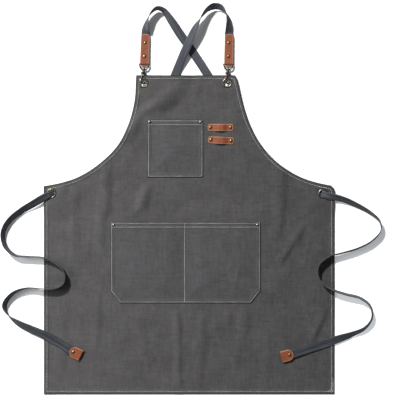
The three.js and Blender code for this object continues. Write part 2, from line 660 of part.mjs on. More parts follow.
// The gate: an eye on the yoke's pin, an arm that reaches the hook's tip, and a thumb stud
function gateGeometry() {
  const eye = cylinder(gate.eye, gate.eyeWidth, 1.5 * gate.sides).rotateZ(Math.PI / 2);
  const bore = cylinder(gatePin.radius + clear, 2 * gate.eyeWidth, gate.sides).rotateZ(Math.PI / 2);
  const reach = gate.reach - gate.pivotDrop;
  const swing = hook.halfSpan - gate.pivotFront;
  const direction = new THREE.Vector3(0, -reach, swing).normalize();
  const start = direction.clone().multiplyScalar((gatePin.radius + clear + gate.eye) / 2);
  const arm = rod([start, new THREE.Vector3(0, -reach, swing)], gate.wire, gate.sides, 1);
  const stud = cylinder(gateStud.radius, gateStud.length, gate.sides)
    .rotateX(Math.PI / 2)
    .translate(0, -gateStud.along * reach, gateStud.along * swing + gateStud.out);
  return cut(join(eye, arm, stud), bore).translate(0, -gate.pivotDrop, gate.pivotFront);
}

// The assembly
const apron = new THREE.Group();

function add(parent, name, geometry, material) {
  const piece = new THREE.Mesh(geometry, material);
  piece.name = name;
  parent.add(piece);
  return piece;
}

add(apron, "apron_panel", panelGeometry(), canvasFinish);
add(apron, "chest_pocket", pocketGeometry(chestPocket, chestRivets), canvasFinish);
add(apron, "waist_pocket", pocketGeometry(waistPocket, waistRivets), canvasFinish);

for (const spot of eyelets) {
  const middle = panelUnder(spot.x, spot.y) + canvas.thickness / 2;
  add(apron, spot.name, eyeletGeometry(), brassFinish).position.set(spot.x, spot.y, middle);
}

for (const spot of pocketRivets) {
  const over = panelTopUnderCap(spot.x, spot.y) + pocket.seat + pocketMouth.thickness;
  const made = rivetGeometry(panelUnder(spot.x, spot.y), over);
  add(apron, "pocket_rivet_" + spot.name, made, brassFinish).position.set(spot.x, spot.y, 0);
}

for (const loop of toolLoops) {
  add(apron, "tool_loop_" + loop.name, toolLoopGeometry(loop), leatherFinish);
  loopRivetPlaces(loop).forEach((spot, index) => {
    const name = `loop_rivet_${loop.name}_${index + 1}`;
    const over = panelTopUnderCap(spot.x, spot.y) + pocket.seat + leather.thickness;
    const made = rivetGeometry(panelUnder(spot.x, spot.y), over);
    add(apron, name, made, brassFinish).position.set(spot.x, spot.y, 0);
  });
}

// Each strap starts between the leather of its tab and ends between the leather of its tip. The middle
// of its waist eyelet parts it into two nodes, the strap and the tie.
for (const hanger of hangers) {
  const frame = new THREE.Group();
  frame.position.set(hanger.x, hanger.y, hook.axisHeight);
  frame.rotation.z = degrees(hanger.turn);
  apron.add(frame);
  add(frame, "hook_ring_" + hanger.side, ringGeometry(), hookFinish);

  const swivelling = new THREE.Group();
  swivelling.position.y = -ring.halfHeight;
  swivelling.rotation.y = degrees(-hook.turn);
  frame.add(swivelling);
  add(swivelling, "snap_hook_" + hanger.side, hookGeometry(), hookFinish);
  add(swivelling, "hook_gate_" + hanger.side, gateGeometry(), hookFinish);

  const strapTab = new THREE.Group();
  strapTab.position.y = ring.halfHeight;
  strapTab.rotation.x = degrees(-tab.slope);
  frame.add(strapTab);
  add(strapTab, "strap_tab_" + hanger.side, tabGeometry(), leatherFinish);
  tabRivets.forEach((along, index) => {
    const made = rivetGeometry(-foldedHalf, foldedHalf).translate(0, along, 0);
    add(strapTab, `tab_rivet_${hanger.side}_${index + 1}`, made, brassFinish);
  });

  strapTab.updateWorldMatrix(true, false);
  const inTabPlaces = [tab.strapStart, tab.length / 2, tab.length - tab.mouth, tab.length + tab.mouth];
  const inTab = inTabPlaces.map((along) => {
    const { x, y, z } = strapTab.localToWorld(new THREE.Vector3(0, along, 0));
    return { x, y, z, rest: 0, lean: 0 };
  });

  const tieSide = hanger.side === "left" ? "right" : "left";
  const end = tips.find((one) => one.side === tieSide);
  const tieTip = new THREE.Group();
  const tipHeight = panelTop(end.x, end.y) + 3 * clear + rivetBackThickness + foldedHalf;
  tieTip.position.set(end.x, end.y, tipHeight);
  tieTip.rotation.z = degrees(end.heading + 180);
  apron.add(tieTip);
  add(tieTip, "tie_tip_" + tieSide, tipGeometry(), leatherFinish);
  const tipRivet = rivetGeometry(-foldedHalf, foldedHalf).translate(tip.rivet, 0, 0);
  add(tieTip, "tip_rivet_" + tieSide, tipRivet, brassFinish);
  tieTip.updateWorldMatrix(true, false);
  const rows = hanger.side === "left" ? leftStrapRows : rightStrapRows;
  const lastLean = rows[rows.length - 1].lean;
  const inTip = [tip.length + tip.mouth, tip.strapEnd].map((along) => {
    const { x, y, z } = tieTip.localToWorld(new THREE.Vector3(along, 0, 0));
    return { x, y, z, rest: 0, lean: lastLean };
  });

  const tabHoles = tabRivets.map((along) => rivetHole({ x: 0, y: along }));
  tabHoles.forEach((hole) => hole.applyMatrix4(strapTab.matrixWorld));
  const tipHole = rivetHole({ x: tip.rivet, y: 0 }).applyMatrix4(tieTip.matrixWorld);
  const allRows = [...inTab, ...rows, ...inTip];
  const inEyelet = allRows.findIndex((row) => row.width === eyeletGather) + 2;
  const strap = cut(strapGeometry(allRows, 0, inEyelet), ...tabHoles);
  add(apron, "strap_" + hanger.side, strap, webbingFinish);
  const tie = cut(strapGeometry(allRows, inEyelet, allRows.length - 1), tipHole);
  add(apron, "tie_" + tieSide, tie, webbingFinish);
}

const box = new THREE.Box3().setFromObject(apron, true);
const middle = box.getCenter(new THREE.Vector3());
const underMiddle = new THREE.Vector3(middle.x, middle.y, box.min.z);
for (const piece of apron.children) {
  piece.position.sub(underMiddle);
}

export default apron;
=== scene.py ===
import math
import random
import bpy
import numpy as np
from mathutils import Matrix, Vector


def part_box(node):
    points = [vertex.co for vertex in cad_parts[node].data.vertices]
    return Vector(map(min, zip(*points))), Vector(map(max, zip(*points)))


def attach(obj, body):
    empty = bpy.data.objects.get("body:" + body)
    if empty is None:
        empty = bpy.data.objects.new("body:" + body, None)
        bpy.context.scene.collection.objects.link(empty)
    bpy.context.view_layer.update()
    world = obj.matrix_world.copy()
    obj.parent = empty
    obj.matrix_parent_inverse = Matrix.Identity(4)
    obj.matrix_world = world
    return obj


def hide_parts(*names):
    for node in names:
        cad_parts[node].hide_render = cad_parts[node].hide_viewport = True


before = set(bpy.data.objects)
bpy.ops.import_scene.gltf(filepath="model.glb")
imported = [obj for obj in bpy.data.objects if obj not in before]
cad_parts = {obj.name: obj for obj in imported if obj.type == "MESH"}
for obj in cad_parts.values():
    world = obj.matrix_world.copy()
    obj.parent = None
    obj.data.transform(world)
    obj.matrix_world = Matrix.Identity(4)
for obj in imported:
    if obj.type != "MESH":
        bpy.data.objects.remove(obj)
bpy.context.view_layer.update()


def moved(x=0.0, y=0.0, z=0.0):
    return Matrix.Translation((x, y, z))


def turned(angle, axis):
    return Matrix.Rotation(math.radians(angle), 4, axis)


# Pieces are drawn in millimetres, x from the apron's centre line, y from its bottom hem, z from the floor
mm = 0.001
panelLow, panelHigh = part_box("apron_panel")
layout = moved((panelLow.x + panelHigh.x) / 2, panelLow.y) @ Matrix.Scale(mm, 4)


# Small sums used all over
def smoothStep(value, start, end):
    t = np.clip((np.asarray(value, float) - start) / (end - start), 0.0, 1.0)
    return t * t * (3.0 - 2.0 * t)


def awayFromSpot(x, y, spot):
    return np.hypot(x - spot[0], y - spot[1])


def awayFromLine(x, y, line):
    x, y = np.asarray(x, float), np.asarray(y, float)
    away = np.full(x.shape, 1e9)
    for (x1, y1), (x2, y2) in zip(line[:-1], line[1:]):
        dx, dy = x2 - x1, y2 - y1
        t = np.clip(((x - x1) * dx + (y - y1) * dy) / max(dx * dx + dy * dy, 1e-9), 0.0, 1.0)
        away = np.minimum(away, np.hypot(x - x1 - t * dx, y - y1 - t * dy))
    return away


# Even bumps of about one cell across, between -1 and 1
def softNoise(x, y, cell, seed):
    size, shift = 64, 900.5
    lattice = np.random.default_rng(seed).uniform(-1.0, 1.0, (size, size))
    u, v = x / cell + shift, y / cell + shift
    i, j = np.floor(u).astype(int), np.floor(v).astype(int)
    a, b = smoothStep(u - i, 0.0, 1.0), smoothStep(v - j, 0.0, 1.0)
    low = lattice[i % size, j % size] * (1 - a) + lattice[(i + 1) % size, j % size] * a
    high = lattice[i % size, (j + 1) % size] * (1 - a) + lattice[(i + 1) % size, (j + 1) % size] * a
    return low * (1 - b) + high * b


def rumpled(x, y, rows):
    return sum(up * softNoise(x, y, cell, seed) for cell, up, seed in rows)


# A smooth curve through points with so many steps to each span; an even one takes all spans as alike
def smoothRoute(points, steps, even=False):
    rows = np.array(points, float)
    ends = (rows[0], rows[-1]) if even else (2 * rows[0] - rows[1], 2 * rows[-1] - rows[-2])
    rows = np.vstack([ends[0], rows, ends[1]])
    spans = np.maximum(np.linalg.norm(np.diff(rows, axis=0), axis=1), 1e-6) ** (0.0 if even else 0.5)
    made = []
    for k, count in enumerate(np.broadcast_to(steps, len(rows) - 3)):
        before, start, end, after = rows[k:k + 4]
        spanIn, span, spanOut = spans[k:k + 3]
        leave = (start - before) / spanIn - (end - before) / (spanIn + span) + (end - start) / span
        reach = (end - start) / span - (after - start) / (span + spanOut) + (after - end) / spanOut
        for t in np.arange(count) / count:
            made.append(
                start * (2 * t ** 3 - 3 * t ** 2 + 1) + leave * span * (t ** 3 - 2 * t ** 2 + t)
                + end * (3 * t ** 2 - 2 * t ** 3) + reach * span * (t ** 3 - t ** 2))
    made.append(rows[-2])
    return np.array(made)


# Points every step along a line of points
def evenly(points, step):
    points = np.array(points, float)
    lengths = np.hypot(*np.diff(points, axis=0).T)
    along = np.concatenate([[0.0], np.cumsum(lengths)])
    count = max(2, int(round(along[-1] / step)) + 1)
    stations = np.linspace(0.0, along[-1], count)
    return np.column_stack([np.interp(stations, along, column) for column in points.T])


def unitRows(rows):
    return rows / np.linalg.norm(rows, axis=1)[:, None]


# Working with pieces
def deselectAll():
    if bpy.context.mode != "OBJECT":
        bpy.ops.object.mode_set(mode="OBJECT")
    bpy.ops.object.select_all(action="DESELECT")


def makeActive(piece):
    deselectAll()
    piece.select_set(True)
    bpy.context.view_layer.objects.active = piece


def editAll(piece):
    makeActive(piece)
    bpy.ops.object.mode_set(mode="EDIT")
    bpy.ops.mesh.select_all(action="SELECT")


def applyModifier(piece, kind, **settings):
    makeActive(piece)
    modifier = piece.modifiers.new(kind.lower(), kind)
    for key, value in settings.items():
        setattr(modifier, key, value)
    bpy.ops.object.modifier_apply(modifier=modifier.name)


def tidyMesh(piece):
    editAll(piece)
    bpy.ops.mesh.remove_doubles(threshold=1e-4)
    bpy.ops.mesh.normals_make_consistent(inside=False)
    bpy.ops.object.mode_set(mode="OBJECT")


def named(piece, name):
    piece.name = name
    piece.data.name = name
    return piece


def newObject(name, data):
    piece = bpy.data.objects.new(name, data)
    bpy.context.collection.objects.link(piece)
    return piece


def joinPieces(pieces, name):
    makeActive(pieces[0])
    for piece in pieces[1:]:
        piece.select_set(True)
    bpy.ops.object.join()
    return named(bpy.context.object, name)


def meshPiece(name, points, faces, edges=()):
    mesh = bpy.data.meshes.new(name)
    mesh.from_pydata(np.asarray(points, float).tolist(), edges, faces)
    mesh.update()
    return newObject(name, mesh)


def pointAttribute(piece, name, values):
    attribute = piece.data.attributes.new(name, "FLOAT", "POINT")
    attribute.data.foreach_set("value", np.asarray(values, np.float32))


# Bent wire: a curve with round section, made a mesh
def wirePiece(name, points, radii, closed=False):
    data = bpy.data.curves.new(name, "CURVE")
    data.dimensions = "3D"
    data.bevel_depth = 1.0
    data.bevel_resolution = 4
    data.use_fill_caps = not closed
    spline = data.splines.new("POLY")
    spline.points.add(len(points) - 1)
    for point, place, radius in zip(spline.points, points, np.broadcast_to(radii, len(points))):
        point.co = (*place, 1.0)
        point.radius = radius
    spline.use_cyclic_u = closed
    makeActive(newObject(name, data))
    bpy.ops.object.convert(target="MESH")
    return named(bpy.context.object, name)


# Puts a piece drawn in millimetres in its place, with its finish, body and the nodes it stands for
def settle(piece, place, finishes, nodes=(), body="apron", sharp=None):
    piece.data.transform(place)
    makeActive(piece)
    if sharp is None:
        bpy.ops.object.shade_smooth()
    else:
        bpy.ops.object.shade_smooth_by_angle(angle=math.radians(sharp))
    piece.data.materials.clear()
    for finish in finishes:
        piece.data.materials.append(finish)
    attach(piece, body)
    if nodes:
        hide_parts(*nodes)
    return piece


# A value in a material's node tree; sums on it add Math nodes
class Value:
    def __init__(self, tree, socket=None):
        self.tree = tree
        self.socket = socket

    def node(self, kind, settings=None, sockets=None, output=0):
        made = self.tree.nodes.new(kind)
        for key, value in (settings or {}).items():
            setattr(made, key, value)
        for key, value in (sockets or {}).items():
            if isinstance(value, Value):
                self.tree.links.new(value.socket, made.inputs[key])
            else:
                made.inputs[key].default_value = value
        return Value(self.tree, made.outputs[output])

    def maths(self, operation, one, two=0.0):
        return self.node("ShaderNodeMath", {"operation": operation}, {0: one, 1: two})

    def __add__(self, other):
        return self.maths("ADD", self, other)

    __radd__ = __add__

    def __sub__(self, other):
        return self.maths("SUBTRACT", self, other)

    def __rsub__(self, other):
        return self.maths("SUBTRACT", other, self)

    def __mul__(self, other):
        return self.maths("MULTIPLY", self, other)

    __rmul__ = __mul__

    def __truediv__(self, other):
        return self.maths("DIVIDE", self, other)

    def __rtruediv__(self, other):
        return self.maths("DIVIDE", other, self)

    def __abs__(self):
        return self.maths("ABSOLUTE", self)

    def sine(self):
        return self.maths("SINE", self)

    def atLeast(self, other):
        return self.maths("MAXIMUM", self, other)

    def atMost(self, other):
        return self.maths("MINIMUM", self, other)

    def within(self):
        return self.atLeast(0.0).atMost(1.0)

    # a noise about its middle, so many times as strong
    def swing(self, amount):
        return (self - 0.5) * amount

    def between(self, low, high):
        return self.node("ShaderNodeMapRange", {"interpolation_type": "SMOOTHSTEP"},
                         {"Value": self, "From Min": low, "From Max": high})

    # one colour where the value is 0, the other where it is 1
    def colours(self, one, other):
        one = one if isinstance(one, Value) else (*one, 1.0)
        return self.node("ShaderNodeMix", {"data_type": "RGBA"}, {0: self, 6: one, 7: (*other, 1.0)}, 2)

    def scaled(self, x, y, z):
        return self.node("ShaderNodeMapping", None, {"Vector": self, "Scale": (x, y, z)})

    def noise(self, scale, detail=3.0, roughness=0.55, distortion=0.0):
        return self.node("ShaderNodeTexNoise", None, {
            "Vector": self, "Scale": scale, "Detail": detail, "Roughness": roughness,
            "Distortion": distortion})

    def part(self, index):
        return self.node("ShaderNodeSeparateXYZ", None, {0: self}, index)

    def attribute(self, name):
        return self.node("ShaderNodeAttribute", {"attribute_name": name}, output="Fac")

    def bump(self, depth, strength, over=None):
        sockets = {"Height": self, "Distance": depth, "Strength": strength}
        if over:
            sockets["Normal"] = over
        return self.node("ShaderNodeBump", None, sockets)


def startFinish(name, **constants):
    finish = bpy.data.materials.new(name)
    finish.use_nodes = True
    shader = finish.node_tree.nodes["Principled BSDF"]
    for key, value in constants.items():
        shader.inputs[key.replace("_", " ")].default_value = value
    place = Value(finish.node_tree).node("ShaderNodeTexCoord", output="Object")
    return finish, shader, place


def endFinish(shader, **values):
    for key, value in values.items():
        value.tree.links.new(value.socket, shader.inputs[key.replace("_", " ")])


# Canvas: plain weave with slubs both ways, washed patches, dark turned edges that are partly painted shade,
# and painted light and shade across the apron
canvasLook = {
    "panel": {
        "deep": (0.0345, 0.0330, 0.0332), "pale": (0.105, 0.1005, 0.1015), "seamAt": 7.5, "rimEnd": 3.6},
    "pocket": {
        "deep": (0.034, 0.0335, 0.0345), "pale": (0.104, 0.1025, 0.1055), "seamAt": 2.4, "rimEnd": 1.5},
    # The next line also sets painted light: how much darker the cloth is painted towards the right, and how
    # much paler over the bib
    "thread": 0.0008, "rim": (0.011, 0.011, 0.012), "falloff": 0.4, "bibPaintedLight": 0.05, "bibRise": (0.03, 0.24),
    "tone": 0.44, "rough": 0.86, "slubs": (60, 900), "bands": (22, 160), "furrow": 1.6, "pucker": 7.0,
}


# Noise drawn out one way, and the same drawn out the other way
def crossed(place, slow, quick):
    weft = place.scaled(slow, quick, 1).noise(1.0, 3.0, 0.6)
    return weft + place.scaled(quick, slow, 1).noise(1.0, 3.0, 0.6)


def makeCanvas(name, kind):
    look = {**canvasLook, **canvasLook[kind]}
    finish, shader, place = startFinish(
        name, Specular_IOR_Level=0.12, Sheen_Weight=0.05, Sheen_Roughness=0.6)
    x, y = place.part(0), place.part(1)
    turns = 2 * math.pi / look["thread"]
    weave = (x * turns).sine() * (y * turns).sine()
    slubs, bands = crossed(place, *look["slubs"]), crossed(place, *look["bands"])
    patches = place.noise(20.0, 5.0, 0.6)
    speck = place.noise(900.0, 2.0, 0.6)
    scuffs = 1.0 - (abs(place.noise(19.0, 4.0, 0.62, 0.5) - 0.5) * 34.0).within()
    scuffs = scuffs * place.noise(13.0, 2.0).between(0.50, 0.66)
    # Painted light and shade: the tone is painted darker towards the right, where the light falls off, and
    # paler over the bib, where more light falls
    tone = (look["tone"] - x * look["falloff"] + y.between(*look["bibRise"]) * look["bibPaintedLight"]
            + scuffs * 0.2 + (slubs - 1.0) * 0.7 + (bands - 1.0) * 0.45
            + patches.swing(0.6) + speck.swing(0.3) + weave * 0.05)
    edge = place.attribute("edge")
    # The dark rim along the panel's edges and the pockets' mouths is partly a darker turned edge and partly
    # painted shade where the cloth turns down
    rim = 1.0 - edge.atMost(place.attribute("mouth")).between(look["rimEnd"] * 0.25, look["rimEnd"])
    base = tone.within().colours(look["deep"], look["pale"])
    base = (rim * (0.55 + speck * 0.5)).within().colours(base, look["rim"])
    fromSeam = abs(edge - look["seamAt"])
    furrow = 1.0 - (fromSeam / look["furrow"]).within()
    pucker = place.noise(170.0, 2.0).swing(1.0 - (fromSeam / look["pucker"]).within())
    normal = (slubs * 0.5 + bands * 0.6 + patches).bump(0.0010, 0.6)
    normal = (pucker * 1.6 - furrow * 0.55).bump(0.0011, 0.9, normal)
    normal = (weave * 0.5 + slubs * 0.5).bump(0.00022, 0.7, normal)
    endFinish(shader, Base_Color=base, Roughness=look["rough"] + patches.swing(0.16), Normal=normal)
    return finish


# Webbing: ribbed twill with lengthwise stripes, drawn along the strap by its own map
# The ties' darkening set here is painted shade
webbingLook = {"deep": (0.020, 0.022, 0.027), "pale": (0.108, 0.115, 0.134), "rib": 0.0013, "slant": 0.0016,
               "middle": 0.010, "selvedge": (0.0083, 0.0094), "tieStart": (0.62, 0.82), "tiePaintedShade": 0.22,
               "rough": 0.78}


def makeWebbing():
    look = webbingLook
    finish, shader, place = startFinish(
        "slateWebbing", Specular_IOR_Level=0.2, Sheen_Weight=0.08, Sheen_Roughness=0.5)
    route = place.node("ShaderNodeUVMap", {"uv_map": "along"})
    across, along = route.part(0), route.part(1)
    fromMiddle = abs(across - look["middle"])
    ribs = (across * (2 * math.pi / look["rib"])).sine()
    twill = ((along + fromMiddle * 1.1) * (2 * math.pi / look["slant"])).sine()
    stripes = route.scaled(330, 6, 1).noise(1.0, 2.0)
    fibre = route.scaled(900, 45, 1).noise(1.0, 3.0)
    patches = place.noise(26.0, 3.0)
    selvedge = fromMiddle.between(*look["selvedge"])
    # Painted shade: the ties, from tieStart along the strap, are painted darker, as less light falls on the
    # apron's lower part
    tone = (0.46 + ribs * 0.06 + twill * 0.10 + stripes.swing(1.9) + fibre.swing(0.9) + patches.swing(0.35)
            + selvedge * 0.14 - along.between(*look["tieStart"]) * look["tiePaintedShade"])
    base = tone.within().colours(look["deep"], look["pale"])
    normal = (ribs * 0.5 + twill * 0.6 + fibre * 0.5).bump(0.00025, 0.8)
    endFinish(shader, Base_Color=base, Roughness=look["rough"] + fibre.swing(0.2), Normal=normal)
    return finish


# Leather: pebbled grain, patchy tan, paler cut edges, and a pale band along the grain side's edges that is
# partly wear and partly painted highlight
leatherLook = {"deep": (0.118, 0.028, 0.010), "pale": (0.285, 0.086, 0.037), "cut": (0.42, 0.22, 0.13),
               "wornAndLitRim": (0.7, 1.9)}


def makeLeather(name, cutEdge):
    look = leatherLook
    finish, shader, place = startFinish(name, Specular_IOR_Level=0.22)
    creases = place.noise(420.0, 4.0, 0.65)
    patches = place.noise(60.0, 4.0, 0.6)
    fibre = place.noise(2600.0, 2.0)
    tone = 0.5 + patches.swing(1.1) + creases.swing(0.8) + fibre.swing(0.3)
    if cutEdge:
        base = (tone * 0.6 + 0.15).within().colours(look["pale"], look["cut"])
        normal = (fibre + creases).bump(0.0003, 0.7)
        rough = 0.8 + creases.swing(0.2)
    else:
        cells = place.node("ShaderNodeTexVoronoi", {"feature": "DISTANCE_TO_EDGE"},
                           {"Vector": place, "Scale": 1100.0, "Randomness": 1.0})
        # Pale band along the edges: partly worn edge, partly painted highlight where the edge catches the
        # light
        wornAndLit = (1.0 - place.attribute("edge").between(*look["wornAndLitRim"])) * (0.75 + creases.swing(0.9))
        base = wornAndLit.within().colours(tone.within().colours(look["deep"], look["pale"]), look["cut"])
        normal = (creases * 0.6 + cells.between(0.0, 0.25) * 0.5).bump(0.00025, 0.8)
        rough = 0.46 + creases.swing(0.3)
    endFinish(shader, Base_Color=base, Roughness=rough, Normal=normal)
    return finish


# Metals: plated brass, rubbed bright in places, with painted shade darkening its rim where it meets the
# cloth
metalLook = {
    "agedBrass": {
        "deep": (0.05, 0.030, 0.014), "bright": (0.44, 0.32, 0.18), "rough": 0.36, "rim": 0.55},
    "eyeletBrass": {
        "deep": (0.022, 0.019, 0.014), "bright": (0.37, 0.335, 0.265), "rough": 0.32, "rim": 0.45},
    "hookMetal": {
        "deep": (0.022, 0.019, 0.016), "bright": (0.20, 0.175, 0.135), "rough": 0.28, "rim": 0.0},
}


def makeMetal(name):
    look = metalLook[name]
    finish, shader, place = startFinish(name, Metallic=1.0)
    patina = place.noise(420.0, 4.0, 0.6)
    scratches = place.scaled(2600, 500, 900).noise(1.0, 3.0)
    # Painted shade: the metal is painted darker towards its rim, where it meets the cloth
    rim = place.attribute("rim").between(0.6, 0.95)
    tone = 0.46 + patina.swing(1.3) + scratches.swing(0.5) - rim * look["rim"]
    base = tone.within().colours(look["deep"], look["bright"])
    rough = look["rough"] + scratches.swing(0.25) + patina.swing(-0.2)
    normal = (scratches * 0.5 + patina).bump(0.00006, 0.5)
    endFinish(shader, Base_Color=base, Roughness=rough, Normal=normal)
    return finish


# Sewing thread: two twisted plies, soiled here and there
threadLook = {"deep": (0.22, 0.216, 0.208), "pale": (0.66, 0.655, 0.64)}


def makeThread():
    finish, shader, place = startFinish("paleThread", Specular_IOR_Level=0.25, Roughness=0.7)
    plies = place.noise(1500.0, 2.0)
    soil = place.noise(45.0, 3.0)
    tone = 0.55 + plies.swing(0.7) + soil.swing(1.7)
    base = tone.within().colours(threadLook["deep"], threadLook["pale"])
    endFinish(shader, Base_Color=base, Normal=plies.bump(0.0001, 0.7))
    return finish


panelCanvas = makeCanvas("charcoalCanvas", "panel")
pocketCanvas = makeCanvas("charcoalPocket", "pocket")
slateWebbing = makeWebbing()
tanLeather = makeLeather("tanLeather", False)
cutLeather = makeLeather("cutLeather", True)
agedBrass, eyeletBrass, hookMetal = (makeMetal(name) for name in metalLook)
paleThread = makeThread()
print("finishes made")

# Outline of the panel: half widths of the bib from the waist corners up to its top edge
panelCut = {
    "halfWidth": 340.0, "waist": 487.0, "top": 746.0, "thickness": 1.2, "hem": 1.4, "hemWidth": 9.0,
    "hemStep": 2.5, "hemShare": 0.42, "hemStops": [0.0, 0.4, 1.2, 3.0, 5.5, 8.0, 9.2, 10.4, 11.8],
    "spacing": 4.0, "rowsFrom": 15.0, "rowRoom": 2.0, "stitchInset": 7.5, "slantMost": 2.5,
    "slantFrom": 440.0, "rimRadius": 1.4, "hole": 9.8, "holeRoom": 0.6, "holeReach": 6.5,
    "pressed": (22, 40), "noMouth": 99.0,
    "armholes": [
        (487, 340, 340), (495, 299, 299), (511, 254, 254), (542, 207, 206), (584, 166, 168),
        (632, 142, 142), (686, 128, 124.5), (727, 125, 114.5), (740, 124.3, 110.5), (746, 124, 106)],
    "armholeSteps": [8, 6, 8, 11, 12, 14, 11, 4, 3],
    "rightCorner": [(473, 340), (479, 339), (483, 336.8), (487, 332), (487.5, 330.8), (488.2, 329.2)],
}
chestCut = {"left": -98.0, "right": 32.0, "bottom": 508.0, "top": 642.0, "rivetInset": 5.5}
waistCut = {
    "left": -184.0, "right": 166.0, "bottom": 214.0, "top": 403.0, "seam": -11.0,
    "cornerX": 22.0, "cornerY": 28.0, "rivetInset": 7.0}
loopCut = {"length": 59.0, "width": 16.0, "arch": 4.4, "curl": 0.3, "rise": 15.0, "lead": 1.0,
           "seat": 0.3, "rivetInset": 6.0, "corner": 4.0, "thickness": 1.6, "columns": 10, "rows": 72}
eyeletSpots = {
    "eyelet_bib_left": (-107.0, 728.0), "eyelet_bib_right": (88.5, 728.0),
    "eyelet_waist_left": (-322.0, 470.0), "eyelet_waist_right": (312.0, 469.0)}
hangers = {"left": (-105.5, 766.0, -2.5), "right": (91.0, 766.0, -1.5)}
toolLoops = {"upper": (73.0, 624.0, 0.0), "lower": (74.0, 594.0, -3.0)}
tieTips = {"left": (-252.0, 91.0, -27.0), "right": (214.5, 88.0, 195.0)}

# Strap routes from the tab to the tie's tip.
# Each row has x, y, height of what it lies on, lean from flat, and the width where it is narrowed
gathered = 11.2
strapRows = {
    "left": [
        (-101.5, 853, 2.5, 34), (-98, 871, 4.5, 70), (-89.5, 889, 5.5, 90), (-75, 900.5, 5, 105),
        (-61, 897, 4, 117), (-45, 877, 2.5, 144), (-22, 843, 1, 172), (3, 808, 0, 180), (43, 747, 0, 180),
        (76, 688, 0, 180), (112, 614, 0, 180), (168, 540, 0, 180), (240, 494, 0, 180),
        (285, 479, 0, 180, 19), (298, 474, 0, 180, gathered), (306.6, 470.6, 0.3, 180, gathered),
        (312, 468.5, 3.9, 180, gathered), (317.2, 466.4, 7.5, 168, 14), (326, 464, 7.5, 150, 18),
        (342, 460.5, 6.2, 134), (362, 454.5, 4, 126), (389, 443, 0.5, 118), (419, 426.5, 0, 107),
        (443, 406, 0, 93), (446, 383, 0, 80), (424, 358, 0, 76), (393, 342, 0, 76), (356, 331, 0.6, 78),
        (326, 323, 1.6, 80), (304, 305, 1.6, 78), (300, 284, 1.6, 76), (311, 261, 1.6, 78),
        (336, 245, 1.6, 80), (366, 235, 0.4, 80), (399, 226, 0, 78), (422, 207, 0, 74), (426, 180, 0, 70),
        (409, 156, 0, 62), (380, 142, 1.5, 46), (349, 131, 3.3, 20), (318, 120, 3, 4), (281, 108, 3, 0)],
    "right": [
        (93, 857, 2.5, -32), (91.5, 874, 4, -58), (84.5, 892, 4, -90), (71.5, 904, 3.5, -121),
        (57, 905.5, 3.5, -125), (43, 898.5, 5, -110), (28.5, 881, 7, -92), (14, 855, 9, -48),
        (1, 826, 9, -22), (-12, 797, 7.5, -6), (-26, 764, 2.6, 0), (-40, 733, 0, 0), (-78, 680, 0, 0),
        (-120, 618, 0, 0), (-172, 542, 0, 0), (-246, 495, 0, 0), (-295, 480, 0, 0, 19),
        (-308, 475.4, 0, 0, gathered), (-316.8, 472, 0.3, 0, gathered), (-322, 469.7, 3.9, 0, gathered),
        (-326.7, 467, 7.5, 8, 14), (-335, 462.4, 7.5, 22, 17.5), (-350, 453.5, 6.2, 35),
        (-368, 443, 4, 43), (-392, 429, 0.4, 51), (-420, 406, 0, 60), (-434, 378, 0, 67),
        (-428, 346, 0, 74), (-406, 326, 0, 84), (-375, 323, 0.4, 88), (-342, 321, 1.4, 90),
        (-312, 308, 1.6, 90), (-290, 286, 1.6, 90), (-291, 261, 1.6, 90),
        (-312, 248, 2.4, 88), (-343, 248, 3.4, 86), (-378, 250, 0.4, 84), (-411, 237, 0, 72),
        (-430, 211, 0, 66), (-424, 189, 0.1, 96), (-401, 169, 0.1, 134), (-370, 153, 2, 160),
        (-340, 140, 3.4, 174), (-308, 123, 3, 180)],
}


def cornerSpots(cut):
    y = cut["top"] - cut["rivetInset"]
    return [(cut["left"] + cut["rivetInset"], y), (cut["right"] - cut["rivetInset"], y)]


def loopSpots(loop):
    x, y, turn = loop
    along = loopCut["length"] / 2 - loopCut["rivetInset"]
    c, s = math.cos(math.radians(turn)), math.sin(math.radians(turn))
    return [(x - along * c, y - along * s), (x + along * c, y + along * s)]


pocketRivets = {
    f"pocket_rivet_{name}_{side}": spot
    for name, cut in (("chest", chestCut), ("waist", waistCut))
    for side, spot in zip(("left", "right"), cornerSpots(cut))}
loopRivets = {
    f"loop_rivet_{name}_{index + 1}": spot
    for name, loop in toolLoops.items() for index, spot in enumerate(loopSpots(loop))}

